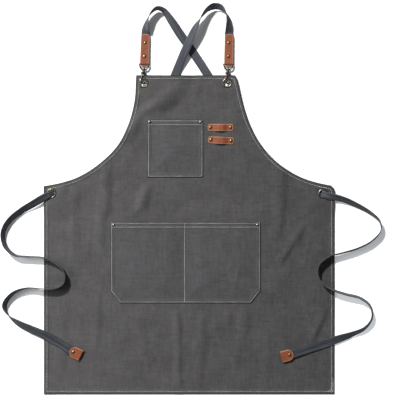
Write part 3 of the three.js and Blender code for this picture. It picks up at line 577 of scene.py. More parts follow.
# How the cloth lies: what lifts it from below, then the folds that it keeps.
# Each fold is a ridge from one point to another: half width on its left and right side, height
clothLie = {
    "strap": 2.9, "strapFlat": 11.0, "strapSlope": 36.0, "bibEyelet": 4.7, "waistEyelet": 5.1, "rivet": 1.4,
    "spotFlat": 15.0, "spotSlope": 60.0, "foldEnd": 30.0, "drift": 4.0, "driftCell": 90.0,
    "pocketCalm": 0.35, "pocketReach": (0, 40), "foldReach": (6, 34), "eyeletReach": (16, 46),
    "hidden": {"low": 465, "high": 766, "wide": 325, "rest": 5},
    "folds": [
        (-196, 540, -198, 330, 30, 20, 5.6), (-265, 506, -268, 314, 20, 24, 2.4),
        (-92, 510, -120, 425, 20, 22, 5.6), (212, 525, 208, 384, 28, 18, 5.0),
        (172, 446, 170, 398, 14, 10, 2.8), (270, 392, 214, 308, 18, 13, 4.4),
        (259, 368, 243, 330, 7, 7, 1.6), (284, 372, 274, 336, 8, 8, 1.8),
        (-213, 232, -216, 100, 22, 16, 3.0), (-31, 202, -24, 10, 20, 14, 4.8),
        (30, 200, 24, 20, 26, 22, 3.6), (88, 212, 92, 165, 12, 12, 3.0),
        (132, 206, 124, 120, 20, 22, 2.8), (313, 188, 286, 124, 20, 11, 4.4),
        (-120, 190, -96, 40, 24, 22, 2.2), (-296, 200, -300, 40, 26, 22, 2.2),
        (190, 150, 176, 10, 22, 20, 2.2), (-26, 715, -98, 662, 25, 36, 5.8),
        (-98, 662, -166, 592, 22, 34, 5.8), (22, 734, 14, 694, 22, 18, 2.2)],
    "rumples": [(95.0, 1.5, 3), (44.0, 0.95, 5), (19.0, 0.36, 8)],
}


# The part of a strap that lies behind the bib
def hiddenRoute(rows):
    lie = clothLie["hidden"]
    return [(x, y) for x, y, rest, *other in rows
            if lie["low"] < y < lie["high"] and abs(x) < lie["wide"] and rest < lie["rest"]]


hiddenRoutes = [hiddenRoute(rows) for rows in strapRows.values()]


def awayFromPockets(x, y, start, end):
    clearest = np.ones(np.shape(x))
    for cut in (chestCut, waistCut):
        dx = np.maximum(np.maximum(cut["left"] - x, x - cut["right"]), 0.0)
        dy = np.maximum(np.maximum(cut["bottom"] - y, y - cut["top"]), 0.0)
        clearest = np.minimum(clearest, smoothStep(np.hypot(dx, dy), start, end))
    return clearest


def foldHeight(x, y, fold):
    x1, y1, x2, y2, leftHalf, rightHalf, height = fold
    length = math.hypot(x2 - x1, y2 - y1)
    ux, uy = (x2 - x1) / length, (y2 - y1) / length
    along = (x - x1) * ux + (y - y1) * uy
    drift = clothLie["drift"] * softNoise(x, y, clothLie["driftCell"], int(abs(x1) + abs(y1)))
    side = (y - y1) * ux - (x - x1) * uy + drift  # above nought to the right of a fold that runs down
    half = np.where(side < 0, leftHalf, rightHalf)
    end = clothLie["foldEnd"]
    falloff = smoothStep(along, -end, end) * (1 - smoothStep(along, length - end, length + end))
    return height * falloff * (1 - smoothStep(np.abs(side), 0, half))


# Underside of the panel
def clothUnder(x, y):
    x, y = np.asarray(x, float), np.asarray(y, float)
    lie = clothLie
    lifts = [("strap", awayFromLine(x, y, route), lie["strap"]) for route in hiddenRoutes]
    for spot in eyeletSpots.values():
        up = lie["bibEyelet"] if spot[1] > panelCut["waist"] else lie["waistEyelet"]
        lifts.append(("spot", awayFromSpot(x, y, spot), up))
    for spot in [*pocketRivets.values(), *loopRivets.values()]:
        lifts.append(("spot", awayFromSpot(x, y, spot), lie["rivet"]))
    height = np.zeros(x.shape)
    for kind, away, up in lifts:
        flat = lie[kind + "Flat"]
        height = np.maximum(height, up * (1 - smoothStep(away, flat, flat + lie[kind + "Slope"])))
    folds = sum(foldHeight(x, y, fold) for fold in lie["folds"]) * awayFromPockets(x, y, *lie["foldReach"])
    calm = lie["pocketCalm"] + (1 - lie["pocketCalm"]) * awayFromPockets(x, y, *lie["pocketReach"])
    for spot in eyeletSpots.values():
        calm = calm * smoothStep(awayFromSpot(x, y, spot), *lie["eyeletReach"])
    return height + np.maximum(folds + rumpled(x, y, lie["rumples"]) * calm, 0.0)


# The panel's edges
def armholeEdge(column):
    points = [(row[column], row[0]) for row in panelCut["armholes"]]
    return smoothRoute(points, panelCut["armholeSteps"], even=True)


leftEdge = armholeEdge(1) * (-1, 1)
rightEdge = armholeEdge(2)
cornerY, cornerX = np.array(panelCut["rightCorner"], float).T
nearCorner = rightEdge[:, 1] < cornerY[-1]
rightEdge[nearCorner, 0] = np.interp(rightEdge[nearCorner, 1], cornerY, cornerX)
outline = np.vstack([
    [(-panelCut["halfWidth"], 0.0), (panelCut["halfWidth"], 0.0)],
    [(x, y) for x, y in zip(cornerX, cornerY) if y < panelCut["waist"]], rightEdge, leftEdge[::-1],
    [(-panelCut["halfWidth"], 0.0)]])


def hemRaise(x, y, edge):
    cut = panelCut
    pressed = np.ones(np.shape(x))
    for spot in eyeletSpots.values():
        pressed = np.minimum(pressed, smoothStep(awayFromSpot(x, y, spot), *cut["pressed"]))
    return cut["hem"] * pressed * (1 - smoothStep(edge, cut["hemWidth"], cut["hemWidth"] + cut["hemStep"]))


# Upper side of the panel, without the rounding of its very edge
def clothTop(x, y):
    return clothUnder(x, y) + panelCut["thickness"] + hemRaise(x, y, awayFromLine(x, y, outline))


# A closed sheet from a grid of places: full thickness a little way in, its two sides meet round the outside
def makeSheet(name, node, finish, x, y, levels, radius, dropped):
    edge, mouth, bottom, thick = levels
    t = np.clip(np.minimum(edge, mouth) / radius, 0.0, 1.0)
    half = np.sqrt(1.0 - (1.0 - t) ** 2) * thick / 2
    middle = bottom + thick / 2
    rows, columns = x.shape
    count = rows * columns
    index = np.arange(count).reshape(rows, columns)
    onRim = np.ones((rows, columns), bool)
    onRim[1:-1, 1:-1] = False
    inner = ~onRim.ravel()
    under = np.where(onRim, index, count + np.cumsum(inner).reshape(rows, columns) - 1)
    order = np.concatenate([np.arange(count), np.flatnonzero(inner)])
    upper = np.where(onRim, middle, middle + half).ravel()
    heights = np.concatenate([upper, (middle - half).ravel()[inner]])
    faces = []
    for grid, way in ((index, 1), (under, -1)):
        quads = np.stack([grid[:-1, :-1], grid[:-1, 1:], grid[1:, 1:], grid[1:, :-1]], axis=-1)[~dropped]
        faces += quads[:, ::way].tolist()
    # a wall wherever a dropped cell meets one that stays
    for r, c in np.argwhere(dropped):
        ring = [(r, c), (r, c + 1), (r + 1, c + 1), (r + 1, c)]
        beyond = [(r - 1, c), (r, c + 1), (r + 1, c), (r, c - 1)]
        for one, other, cell in zip(ring, ring[1:] + ring[:1], beyond):
            if not dropped[cell]:
                faces.append([int(k) for k in (index[one], index[other], under[other], under[one])])
    piece = meshPiece(name, np.column_stack([x.ravel()[order], y.ravel()[order], heights]), faces)
    pointAttribute(piece, "edge", edge.ravel()[order])
    pointAttribute(piece, "mouth", mouth.ravel()[order])
    editAll(piece)
    bpy.ops.mesh.delete_loose(use_verts=True, use_edges=True, use_faces=False)
    bpy.ops.object.mode_set(mode="OBJECT")
    return settle(piece, layout, [finish], [node])


# Rows of the panel's grid from the hem up: height, both ends, and how far the hem's columns spread at each
def panelRows():
    cut, stops = panelCut, panelCut["hemStops"]
    rows, armholes = [], []
    for y in [*stops, *np.linspace(cut["rowsFrom"], cut["waist"], int(cut["waist"] / cut["spacing"]))[:-1]]:
        slant = 1.0 + (cut["slantMost"] - 1.0) * float(smoothStep(y, cut["slantFrom"], cut["waist"]))
        rows.append((y, -cut["halfWidth"], np.interp(y, cornerY, cornerX), slant, slant))
    last = len(leftEdge) - 1
    for k, (left, right) in enumerate(zip(leftEdge, rightEdge)):
        slants = []
        for edge in (leftEdge, rightEdge):
            way = edge[min(k + 1, last)] - edge[max(k - 1, 0)]
            slants.append(min(math.hypot(*way) / max(way[1], 1e-6), cut["slantMost"]))
        armholes.append((left[1], left[0], right[0], *slants))
    rows += [row for row in armholes if row[0] < cut["top"] - stops[-1] - cut["rowRoom"]]
    for stop in stops[:0:-1]:
        y = cut["top"] - stop
        ends = [np.interp(y, edge[:, 1], edge[:, 0]) for edge in (leftEdge, rightEdge)]
        rows.append((y, *ends, *rows[-1][3:]))
    return rows + armholes[-1:]


def makePanel():
    cut, stops = panelCut, np.array(panelCut["hemStops"])
    share = np.linspace(0.0, 1.0, int(2 * cut["halfWidth"] / cut["spacing"]))
    xs, ys = [], []
    for y, left, right, *slants in panelRows():
        room = (right - left) * cut["hemShare"] / stops[-1]
        leftStops = left + stops * min(slants[0], room)
        rightStops = right - stops * min(slants[1], room)
        between = leftStops[-1] + (rightStops[-1] - leftStops[-1]) * share
        xs.append([*leftStops[:-1], *between, *rightStops[-2::-1]])
        ys.append([y] * len(xs[-1]))
    x, y = np.array(xs), np.array(ys)
    # holes for the eyelets: cells go, and the points left round them are pulled to the hole's edge
    dropped = np.zeros((x.shape[0] - 1, x.shape[1] - 1), bool)
    halves = (slice(None, -1), slice(1, None))
    corners = [(row, column) for column in halves for row in halves]
    inside = cut["hole"] - cut["holeRoom"]
    for spot in eyeletSpots.values():
        away = awayFromSpot(x, y, spot)
        touching = np.zeros(x.shape, bool)
        for corner in corners:
            dropped |= (away < inside)[corner]
        for corner in corners:
            touching[corner] |= dropped
        pulled = touching & (away >= inside) & (away < cut["hole"] + cut["holeReach"])
        x = np.where(pulled, spot[0] + (x - spot[0]) * cut["hole"] / np.maximum(away, 1e-6), x)
        y = np.where(pulled, spot[1] + (y - spot[1]) * cut["hole"] / np.maximum(away, 1e-6), y)
    edge = awayFromLine(x, y, outline)
    hem = hemRaise(x, y, edge)
    bottom = np.maximum(clothUnder(x, y) - 0.5 * hem, 0.0)
    levels = (edge, np.full(x.shape, cut["noMouth"]), bottom, cut["thickness"] + hem)
    piece = makeSheet("canvas_panel", "apron_panel", panelCanvas, x, y, levels, cut["rimRadius"], dropped)
    return piece


canvasPanel = makePanel()
print("panel made", len(canvasPanel.data.vertices))

# Patch pockets
pocketSewing = {
    "seat": 0.35, "puff": 3.6, "seamWidth": 8.0, "seamLoose": 1.5, "slope": 46.0, "turning": 0.7,
    "turningEnd": (7.0, 9.0), "mouthEnd": (13.0, 15.0), "mouthRows": (2.6, 11.6), "mouthInset": 1.5,
    "stitchInset": 2.4, "spacing": 2.6, "rimRadius": 1.1, "seamStops": [-3.0, -1.5, 0.0, 1.5, 3.0],
    "edgeStops": [0.0, 0.4, 1.2, 2.4, 3.6, 5.5, 7.2, 9.0, 11.0],
    "mouthStops": [0.0, 0.4, 1.2, 2.6, 5.5, 9.0, 11.6, 13.2, 15.0],
    "rumples": [(60.0, 0.55, 21), (26.0, 0.495, 23)],
    "creases": [(-104, 376, -84, 350, 7, 7, 1.6), (-164, 372, -158, 330, 8, 8, 1.6),
                (-70, 300, -40, 262, 10, 9, 1.2), (60, 370, 84, 330, 9, 9, 1.3),
                (120, 300, 110, 250, 9, 9, 1.2)]}


def pocketLine(cut):
    cornerX, cornerY = cut.get("cornerX", 0.0), cut.get("cornerY", 0.0)
    line = [(cut["left"], cut["top"]), (cut["left"], cut["bottom"] + cornerY)]
    if cornerX:
        line += [(cut["left"] + cornerX, cut["bottom"]), (cut["right"] - cornerX, cut["bottom"])]
    line += [(cut["right"], cut["bottom"] + cornerY), (cut["right"], cut["top"])]
    return line


# How far from its sewn edge and its mouth a place is, its underside and its thickness
def pocketLevels(cut, x, y):
    sewing = pocketSewing
    edge, mouth = awayFromLine(x, y, pocketLine(cut)), cut["top"] - y
    held = edge
    if "seam" in cut:
        held = np.minimum(edge, np.abs(x - cut["seam"]) + sewing["seamWidth"] - sewing["seamLoose"])
    loose = smoothStep(held, sewing["seamWidth"], sewing["seamWidth"] + sewing["slope"])
    creases = sum(foldHeight(x, y, crease) for crease in sewing["creases"])
    puff = (sewing["puff"] + rumpled(x, y, sewing["rumples"]) + creases) * loose
    flat = np.minimum(smoothStep(edge, *sewing["turningEnd"]), smoothStep(mouth, *sewing["mouthEnd"]))
    bottom = clothTop(x, y) + sewing["seat"] + puff
    return edge, mouth, bottom, panelCut["thickness"] + sewing["turning"] * (1 - flat)


# All the values in order, with even steps between them
def filledLine(values, spacing):
    values = sorted(set(values))
    line = values[:1]
    for value in values[1:]:
        parts = max(1, int(round((value - line[-1]) / spacing)))
        line += list(np.linspace(line[-1], value, parts + 1)[1:])
    return np.array(line)


def makePocket(name, cut, node):
    sewing = pocketSewing
    left, right, bottom, top = (cut[side] for side in ("left", "right", "bottom", "top"))
    cornerX, cornerY = cut.get("cornerX", 0.0), cut.get("cornerY", 1.0)
    wide = [left + stop for stop in sewing["edgeStops"]] + [right - stop for stop in sewing["edgeStops"]]
    if "seam" in cut:
        wide += [cut["seam"] + stop for stop in sewing["seamStops"]]
    tall = [bottom + stop for stop in sewing["edgeStops"]] + [top - stop for stop in sewing["mouthStops"]]
    x, y = np.meshgrid(filledLine(wide, sewing["spacing"]), filledLine(tall, sewing["spacing"]))
    middle, half = (left + right) / 2, (right - left) / 2
    x = middle + (x - middle) * (1 - cornerX * np.maximum(0.0, 1 - (y - bottom) / cornerY) / half)
    noHoles = np.zeros((x.shape[0] - 1, x.shape[1] - 1), bool)
    levels = pocketLevels(cut, x, y)
    piece = makeSheet(name, node, pocketCanvas, x, y, levels, sewing["rimRadius"], noHoles)
    flat = ((right - left) * mm, (top - bottom) * mm)
    area = flat[0] * flat[1] - cornerX * cornerY * mm * mm


makePocket("chest_patch", chestCut, "chest_pocket")
makePocket("waist_patch", waistCut, "waist_pocket")
print("pockets made")

# Stitching: one stitch shape, laid along the sewn lines
stitchShape = {"length": 3.3, "pitch": 4.1, "thick": 0.45, "sides": 6, "arch": 0.26, "sink": 0.10,
               "probe": 0.3, "turn": 5.0, "stretch": (0.93, 1.04), "seed": 17, "underDepth": 0.42,
               "underSeamTop": 2.0,
               "swell": [(-1.0, 0.3), (-0.72, 0.9), (0.0, 1.0), (0.72, 0.9), (1.0, 0.3)]}


def unitStitch():
    shape, sides = stitchShape, stitchShape["sides"]
    points, faces = [], []
    for at, swell in shape["swell"]:
        for angle in np.arange(sides) * 2 * math.pi / sides:
            points.append((
                at * shape["length"] / 2, shape["thick"] * swell * math.cos(angle),
                shape["arch"] * (1 - at * at) - shape["sink"] + shape["thick"] * swell * math.sin(angle)))
    last = len(points) - sides
    for ring in range(0, last, sides):
        for side in range(sides):
            a, b = ring + side, ring + (side + 1) % sides
            faces.append([a + sides, b + sides, b, a])
    faces.append(list(range(sides)))
    faces.append([last + side for side in range(sides)][::-1])
    return np.array(points), faces


def sewLines(name, lines, height, side=1):
    shape, faces = unitStitch()
    shape[:, 2] *= side
    faces = [face[::side] for face in faces]
    draw = random.Random(stitchShape["seed"])
    turn, probe = stitchShape["turn"], stitchShape["probe"]
    allPoints, allFaces = [], []
    for line in lines:
        stations = evenly(line, stitchShape["pitch"])
        middles = (stations[:-1] + stations[1:]) / 2
        ways = stations[1:] - stations[:-1]
        levels = height(*middles.T)
        rises = height(*(middles + ways * probe).T) - height(*(middles - ways * probe).T)
        for (x, y), way, level, rise in zip(middles, ways, levels, rises):
            angle = math.atan2(way[1], way[0]) + math.radians(draw.uniform(-turn, turn))
            stretch = draw.uniform(*stitchShape["stretch"])
            c, s = math.cos(angle), math.sin(angle)
            slope = rise / (2 * probe * math.hypot(*way))
            start = len(allPoints) * len(shape)
            allPoints.append(np.column_stack([
                x + shape[:, 0] * c * stretch - shape[:, 1] * s,
                y + shape[:, 0] * s * stretch + shape[:, 1] * c,
                level + shape[:, 2] + shape[:, 0] * slope]))
            allFaces += [[start + k for k in face] for face in faces]
    settle(meshPiece(name, np.vstack(allPoints), allFaces), layout, [paleThread])


# A line the given way inside a closed or open line of points, which runs with its inside on the left
def insetLine(points, inset, closed):
    points = np.array(points, float)
    count = len(points)
    sharpest, slack = 0.2, 0.2
    made = []
    for k, here in enumerate(points):
        before = points[k - 1] if k or closed else here
        after = points[(k + 1) % count] if k < count - 1 or closed else here
        normals = []
        for one, other in ((before, here), (here, after)):
            if not np.allclose(one, other):
                way = (other - one) / np.linalg.norm(other - one)
                normals.append(np.array([-way[1], way[0]]))
        middle = sum(normals) / len(normals)
        middle /= np.linalg.norm(middle)
        made.append(here + middle * inset / max(np.dot(middle, normals[0]), sharpest))
    made = np.array(made)
    line = np.vstack([points, points[:1]]) if closed else points
    made = made[awayFromLine(made[:, 0], made[:, 1], line) > inset - slack]
    return np.vstack([made, made[:1]]) if closed else made


hemLine = insetLine(outline[:-1], panelCut["stitchInset"], True)
sewLines("hem_stitching", [hemLine], clothTop)

threadTails = {
    "thick": 0.32, "steps": 8,
    "routes": [[(334, 8), (337, 15), (333.5, 24), (336.5, 33), (333, 39)],
               [(336, 7), (331, 12), (335, 19), (338, 27)], [(323, 6.5), (328, 9), (333, 6), (337, 9)]]}


def makeTails():
    tails = []
    for route in threadTails["routes"]:
        line = smoothRoute(route, threadTails["steps"])
        levels = clothTop(line[:, 0], line[:, 1]) + threadTails["thick"]
        tails.append(wirePiece("tail", np.column_stack([line, levels]), threadTails["thick"]))
    settle(joinPieces(tails, "thread_tails"), layout, [paleThread])


makeTails()


# The sewn lines of a pocket: its edge, the rows along its mouth and the seam down its middle
def pocketSeams(cut, seamTop, mouthRows=()):
    inset = pocketSewing["stitchInset"]
    rowInset = inset + pocketSewing["mouthInset"]
    lines = [insetLine(pocketLine(cut), inset, False)]
    for row in mouthRows:
        lines.append([(x, cut["top"] - row) for x in (cut["left"] + rowInset, cut["right"] - rowInset)])
    if "seam" in cut:
        lines.append([(cut["seam"], cut["top"] - seamTop), (cut["seam"], cut["bottom"] + inset)])
    return lines


def pocketTop(cut):
    def height(x, y):
        edge, mouth, bottom, thick = pocketLevels(cut, x, y)
        return bottom + thick
    return height


# The seams from below, where the thread sinks into the cloth
def seamUnder(x, y):
    return np.maximum(clothUnder(x, y), stitchShape["underDepth"])


underSeams = [line for cut in (chestCut, waistCut) for line in pocketSeams(cut, stitchShape["underSeamTop"])]
sewLines("back_stitching", [hemLine, *underSeams], seamUnder, -1)
for name, cut in (("chest_stitching", chestCut), ("waist_stitching", waistCut)):
    mouthRows = pocketSewing["mouthRows"]
    sewLines(name, pocketSeams(cut, mouthRows[0], mouthRows), pocketTop(cut))
print("stitching made")

# Straps and the leather, which share the same frames
tabCut = {"width": 20.0, "length": 69.0, "foldInside": 1.9, "gapInside": 1.2, "foldAt": 0.0, "taper": 9.0,
          "slope": 2.5, "thickness": 1.6, "corner": 5.0, "rivets": (17.0, 49.0),
          "strapAt": (9.0, 34.5, 66.0, 72.0), "columns": 12, "rows": 120}
tipCut = {"width": 25.0, "length": 29.0, "foldInside": 1.2, "gapInside": 1.2, "foldAt": 2.8, "taper": 2.0,
          "thickness": 1.6, "corner": 12.4, "rivet": 20.5, "strapAt": (31.0, 4.5), "columns": 12, "rows": 96}
ringShape = {"halfWidth": 10.4, "halfHeight": 6.7, "wire": 1.7, "squareTop": 6.0, "squareFoot": 2.8,
             "taper": 0.2, "taperFrom": 0.4, "corners": 96, "step": 0.5, "axis": 6.2, "hookTurn": -50.0}


def nodeMiddle(node):
    low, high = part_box(node)
    return (low.z + high.z) / 2 / mm


def hangerFrame(side):
    x, y, turn = hangers[side]
    return layout @ moved(x, y, ringShape["axis"]) @ turned(turn, "Z")


def tabFrame(side):
    return hangerFrame(side) @ moved(y=ringShape["halfHeight"]) @ turned(-tabCut["slope"], "X")


def swivelFrame(side):
    return hangerFrame(side) @ moved(y=-ringShape["halfHeight"]) @ turned(ringShape["hookTurn"], "Y")


def tipFrame(side):
    x, y, heading = tieTips[side]
    return layout @ moved(x, y, nodeMiddle("tie_tip_" + side)) @ turned(heading + 180, "Z")


webbingCut = {"width": 20.0, "thickness": 1.7, "bulk": 1.8, "steps": 12, "clear": 0.3, "firstLean": 0.42,
              "pleats": 1.5, "pleatDeep": 0.16, "flutter": 0.35, "flutterSteps": ((0.11, 0.0), (0.047, 1.0)),
              "overPanel": (2, 455), "sideRoom": 1.0, "clothRoom": 0.25, "liftReach": 14,
              "section": [(-1.0, 0.0), (-0.985, 0.7), (-0.94, 1.0), (-0.8, 1.0), (-0.6, 0.96), (-0.4, 0.96),
                          (-0.2, 0.96), (0.0, 0.96), (0.2, 0.96), (0.4, 0.96), (0.6, 0.96), (0.8, 1.0),
                          (0.94, 1.0), (0.985, 0.7)]}


def makeStrap(name, side, nodes):
    cut = webbingCut
    tieSide = "right" if side == "left" else "left"
    toLayout = layout.inverted()
    inTab = [tuple(toLayout @ tabFrame(side) @ Vector((0, along, 0))) for along in tabCut["strapAt"]]
    inTip = [tuple(toLayout @ tipFrame(tieSide) @ Vector((along, 0, 0))) for along in tipCut["strapAt"]]
    centres, shapes = inTab, [(0.0, cut["width"])] * len(inTab)
    shapes[-1] = (strapRows[side][0][3] * cut["firstLean"], cut["width"])
    for x, y, rest, lean, *narrow in strapRows[side]:
        width = narrow[0] if narrow else cut["width"]
        tilt = math.radians(lean)
        thick = cut["bulk"] * cut["width"] / width
        rise = (width * abs(math.sin(tilt)) + thick * abs(math.cos(tilt))) / 2
        centres.append((x, y, rest + cut["clear"] + rise))
        shapes.append((lean, width))
    shapes += [(lean, cut["width"])] * len(inTip)
    route = smoothRoute(centres + inTip, cut["steps"])
    leans, width = smoothRoute(shapes, cut["steps"]).T
    count = len(route)
    forward = unitRows(np.gradient(route, axis=0))
    level = unitRows(np.cross(forward, [0.0, 0.0, 1.0]))
    lean = np.radians(leans)[:, None]
    across = level * np.cos(-lean) + np.cross(forward, level) * np.sin(-lean)
    through = np.cross(across, forward)
    width = np.clip(width, gathered, cut["width"])
    section = np.array(cut["section"] + [(-s, -t) for s, t in cut["section"]])
    # a gathered strap is pleated, and loses none of its thickness
    squeeze = np.sqrt(np.maximum((cut["width"] / width) ** 2 - 1.0, 0.0))
    pleat = cut["pleatDeep"] * squeeze * width / (2 * cut["pleats"])
    waves = [np.sin(np.arange(count) * pace + shift) for pace, shift in cut["flutterSteps"]]
    flutter = cut["flutter"] * np.mean(waves, axis=0)
    rings = []
    for s, t in section:
        offset = t * cut["thickness"] / 2 + pleat * np.cos(math.pi * cut["pleats"] * 2 * s) + flutter * s
        rings.append(route + across * (s * width / 2)[:, None] + through * offset[:, None])
    rings = np.stack(rings, axis=1)
    # where it lies on the panel it stays above the cloth
    x, y, z = np.moveaxis(rings, 2, 0)
    low, high = cut["overPanel"]
    over = (y > low) & (y < high) & (np.abs(x) < panelCut["halfWidth"] - cut["sideRoom"])
    need = np.maximum(np.where(over, clothTop(x, y) + cut["clothRoom"] - z, 0.0).max(axis=1), 0.0)
    reach = cut["liftReach"]
    spread = np.array([need[max(0, k - reach):k + reach + 1].max() for k in range(count)])
    kernel = np.hanning(2 * reach + 1)
    lift = np.convolve(np.pad(spread, reach, mode="edge"), kernel / kernel.sum(), mode="valid")
    fixedEnd = smoothStep(np.arange(count), count - 3 * cut["steps"], count - 2 * cut["steps"])
    rings[:, :, 2] += (lift * (1 - fixedEnd))[:, None]
    around = len(section)
    loops = [[(k, m), (k + 1, m), (k + 1, (m + 1) % around), (k, (m + 1) % around)]
             for k in range(count - 1) for m in range(around)]
    loops += [[(k, m) for m in range(around)][::way] for k, way in ((0, 1), (count - 1, -1))]
    piece = meshPiece(name, rings.reshape(-1, 3), [[k * around + m for k, m in loop] for loop in loops])
    along = np.concatenate([[0.0], np.cumsum(np.linalg.norm(np.diff(route, axis=0), axis=1))])
    edgeU = (section[:, 0] + 1) * cut["width"] / 2
    uvs = np.array([(edgeU[m], along[k]) for loop in loops for k, m in loop])
    layer = piece.data.uv_layers.new(name="along")
    layer.data.foreach_set("uv", (uvs * mm).ravel())
    settle(piece, layout, [slateWebbing], nodes)


makeStrap("webbing_left", "left", ["strap_left", "tie_right"])
makeStrap("webbing_right", "right", ["strap_right", "tie_left"])
print("straps made")

# Leather: a blank with rounded corners, folded or arched, then given its thickness
leatherEdge = {"bevel": 0.32, "segments": 2, "angle": 50.0}


def leatherBlank(name, cut, length):
    deselectAll()
    bpy.ops.mesh.primitive_grid_add(x_subdivisions=cut["columns"], y_subdivisions=cut["rows"], size=1.0)
    piece = named(bpy.context.object, name)
    corner = cut["corner"]
    edge = []
    for vertex in piece.data.vertices:
        along = vertex.co.y * length
        fromEnd = length / 2 - abs(along)
        short = max(corner - fromEnd, 0.0)
        half = cut["width"] / 2 - corner + math.sqrt(max(corner ** 2 - short ** 2, 0.0))
        edge.append(min(half * (1 - 2 * abs(vertex.co.x)), fromEnd))
        vertex.co = (vertex.co.x * 2 * half, along, 0.0)
    pointAttribute(piece, "edge", edge)
    piece.data.materials.append(tanLeather)
    piece.data.materials.append(cutLeather)
    return piece


def finishLeather(piece, cut, place, node):
    applyModifier(piece, "SOLIDIFY", thickness=cut["thickness"], offset=0.0, material_offset_rim=1,
                  use_even_offset=True)
    applyModifier(piece, "BEVEL", width=leatherEdge["bevel"], segments=leatherEdge["segments"],
                  limit_method="ANGLE", angle_limit=math.radians(leatherEdge["angle"]))
    settle(piece, place, [tanLeather, cutLeather], [node], sharp=45)


def makeFolded(name, cut, place, node):
    bendMiddle = cut["foldInside"] + cut["thickness"] / 2
    flapMiddle = cut["gapInside"] + cut["thickness"] / 2
    quarter = math.pi * bendMiddle / 2
    piece = leatherBlank(name, cut, 2 * (quarter + cut["length"] - cut["foldAt"]))
    for vertex in piece.data.vertices:
        side = 1.0 if vertex.co.y >= 0 else -1.0
        along = abs(vertex.co.y)
        if along < quarter:
            angle = along / bendMiddle
            x, z = cut["foldAt"] - bendMiddle * math.cos(angle), bendMiddle * math.sin(angle)
        else:
            x = cut["foldAt"] + along - quarter
            z = bendMiddle + (flapMiddle - bendMiddle) * float(smoothStep(along - quarter, 0, cut["taper"]))
        vertex.co = (x, vertex.co.x, -side * z)
    finishLeather(piece, cut, place, node)


for side in hangers:
    makeFolded("tab_leather_" + side, tabCut, tabFrame(side) @ turned(90, "Z"), "strap_tab_" + side)
for side in tieTips:
    makeFolded("tip_leather_" + side, tipCut, tipFrame(side), "tie_tip_" + side)


def makeToolLoop(name, loop, node):
    cut = loopCut
    x, y, turn = loop
    piece = leatherBlank(name, cut, cut["length"])
    c, s = math.cos(math.radians(turn)), math.sin(math.radians(turn))
    along = np.array([vertex.co.y for vertex in piece.data.vertices])
    across = -np.array([vertex.co.x for vertex in piece.data.vertices])
    x, y = x + along * c - across * s, y + along * s + across * c
    flatEnd = 2 * cut["rivetInset"]
    raised = smoothStep(cut["length"] / 2 - np.abs(along), flatEnd - cut["lead"], flatEnd + cut["rise"])
    arch = (cut["arch"] - cut["curl"] * (2 * across / cut["width"]) ** 2) * raised
    z = clothTop(x, y) + cut["seat"] + cut["thickness"] / 2 + arch
    for vertex, place in zip(piece.data.vertices, np.column_stack([x, y, z])):
        vertex.co = place
    tidyMesh(piece)
    finishLeather(piece, cut, layout, node)


for name, loop in toolLoops.items():
    makeToolLoop("loop_leather_" + name, loop, "tool_loop_" + name)
print("leather made")


# Turned metal: a disc drawn up its profile of radius and height
def turnedPiece(name, profile, sides):
    deselectAll()
    radius, height = profile[0]
    bpy.ops.mesh.primitive_circle_add(vertices=sides, radius=radius, fill_type="NGON")
    piece = named(bpy.context.object, name)
    piece.data.transform(moved(z=height))
    editAll(piece)
    for nextRadius, nextHeight in profile[1:]:
        bpy.ops.mesh.extrude_region_move(TRANSFORM_OT_translate={"value": (0, 0, nextHeight - height)})
        grow = nextRadius / radius
        bpy.ops.transform.resize(value=(grow, grow, 1.0))
        radius, height = nextRadius, nextHeight
    bpy.ops.mesh.select_all(action="SELECT")
    bpy.ops.mesh.normals_make_consistent(inside=False)
    bpy.ops.object.mode_set(mode="OBJECT")
    return piece


# A profile from one end to its middle, and the same back on the other side
def mirrored(profile):
    return profile + [(radius, -height) for radius, height in profile[::-1] if height]


# Marks how far out each point is, from 0 at one radius to 1 at the other
def markRim(piece, inner, outer):
    rim = [(math.hypot(*vertex.co.xy) - inner) / (outer - inner) for vertex in piece.data.vertices]
    pointAttribute(piece, "rim", rim)


rivetShape = {"cap": 3.8, "back": 2.8, "shank": 1.4, "shankEnd": 0.05, "sides": 28, "around": 9,
              "lowest": 0.75, "sink": 0.12, "foot": [(0.8, -0.7), (1.0, -0.4), (1.0, 0.0)],
              "dome": [(1.0, 0.0), (1.02, 0.22), (0.98, 0.42), (0.9, 0.52), (0.84, 0.56), (0.78, 0.72),
                       (0.62, 1.05), (0.42, 1.28), (0.2, 1.38)]}


def makeRivet(node, under, over, place, finish=agedBrass):
    shape = rivetShape
    profile = [(shape["back"] * share, under + rise) for share, rise in shape["foot"]]
    profile += [(shape["shank"], under + shape["shankEnd"]), (shape["shank"], over - shape["shankEnd"])]
    profile += [(shape["cap"] * share, over + rise) for share, rise in shape["dome"]]
    piece = turnedPiece("brass_" + node, profile, shape["sides"])
    markRim(piece, 0.0, shape["cap"])
    settle(piece, place, [finish], [node], sharp=50)


def makeClothRivet(node, spot, top, finish):
    shape = rivetShape
    angles = np.linspace(0, 2 * math.pi, shape["around"])
    x = np.array([spot[0], *(spot[0] + shape["cap"] * np.cos(angles))])
    y = np.array([spot[1], *(spot[1] + shape["cap"] * np.sin(angles))])
    under = max(float(clothUnder(x, y)[0]), shape["lowest"])
    makeRivet(node, under, float(top(x, y).max()) - shape["sink"], layout @ moved(*spot), finish)


def loopTop(x, y):
    return clothTop(x, y) + loopCut["seat"] + loopCut["thickness"]


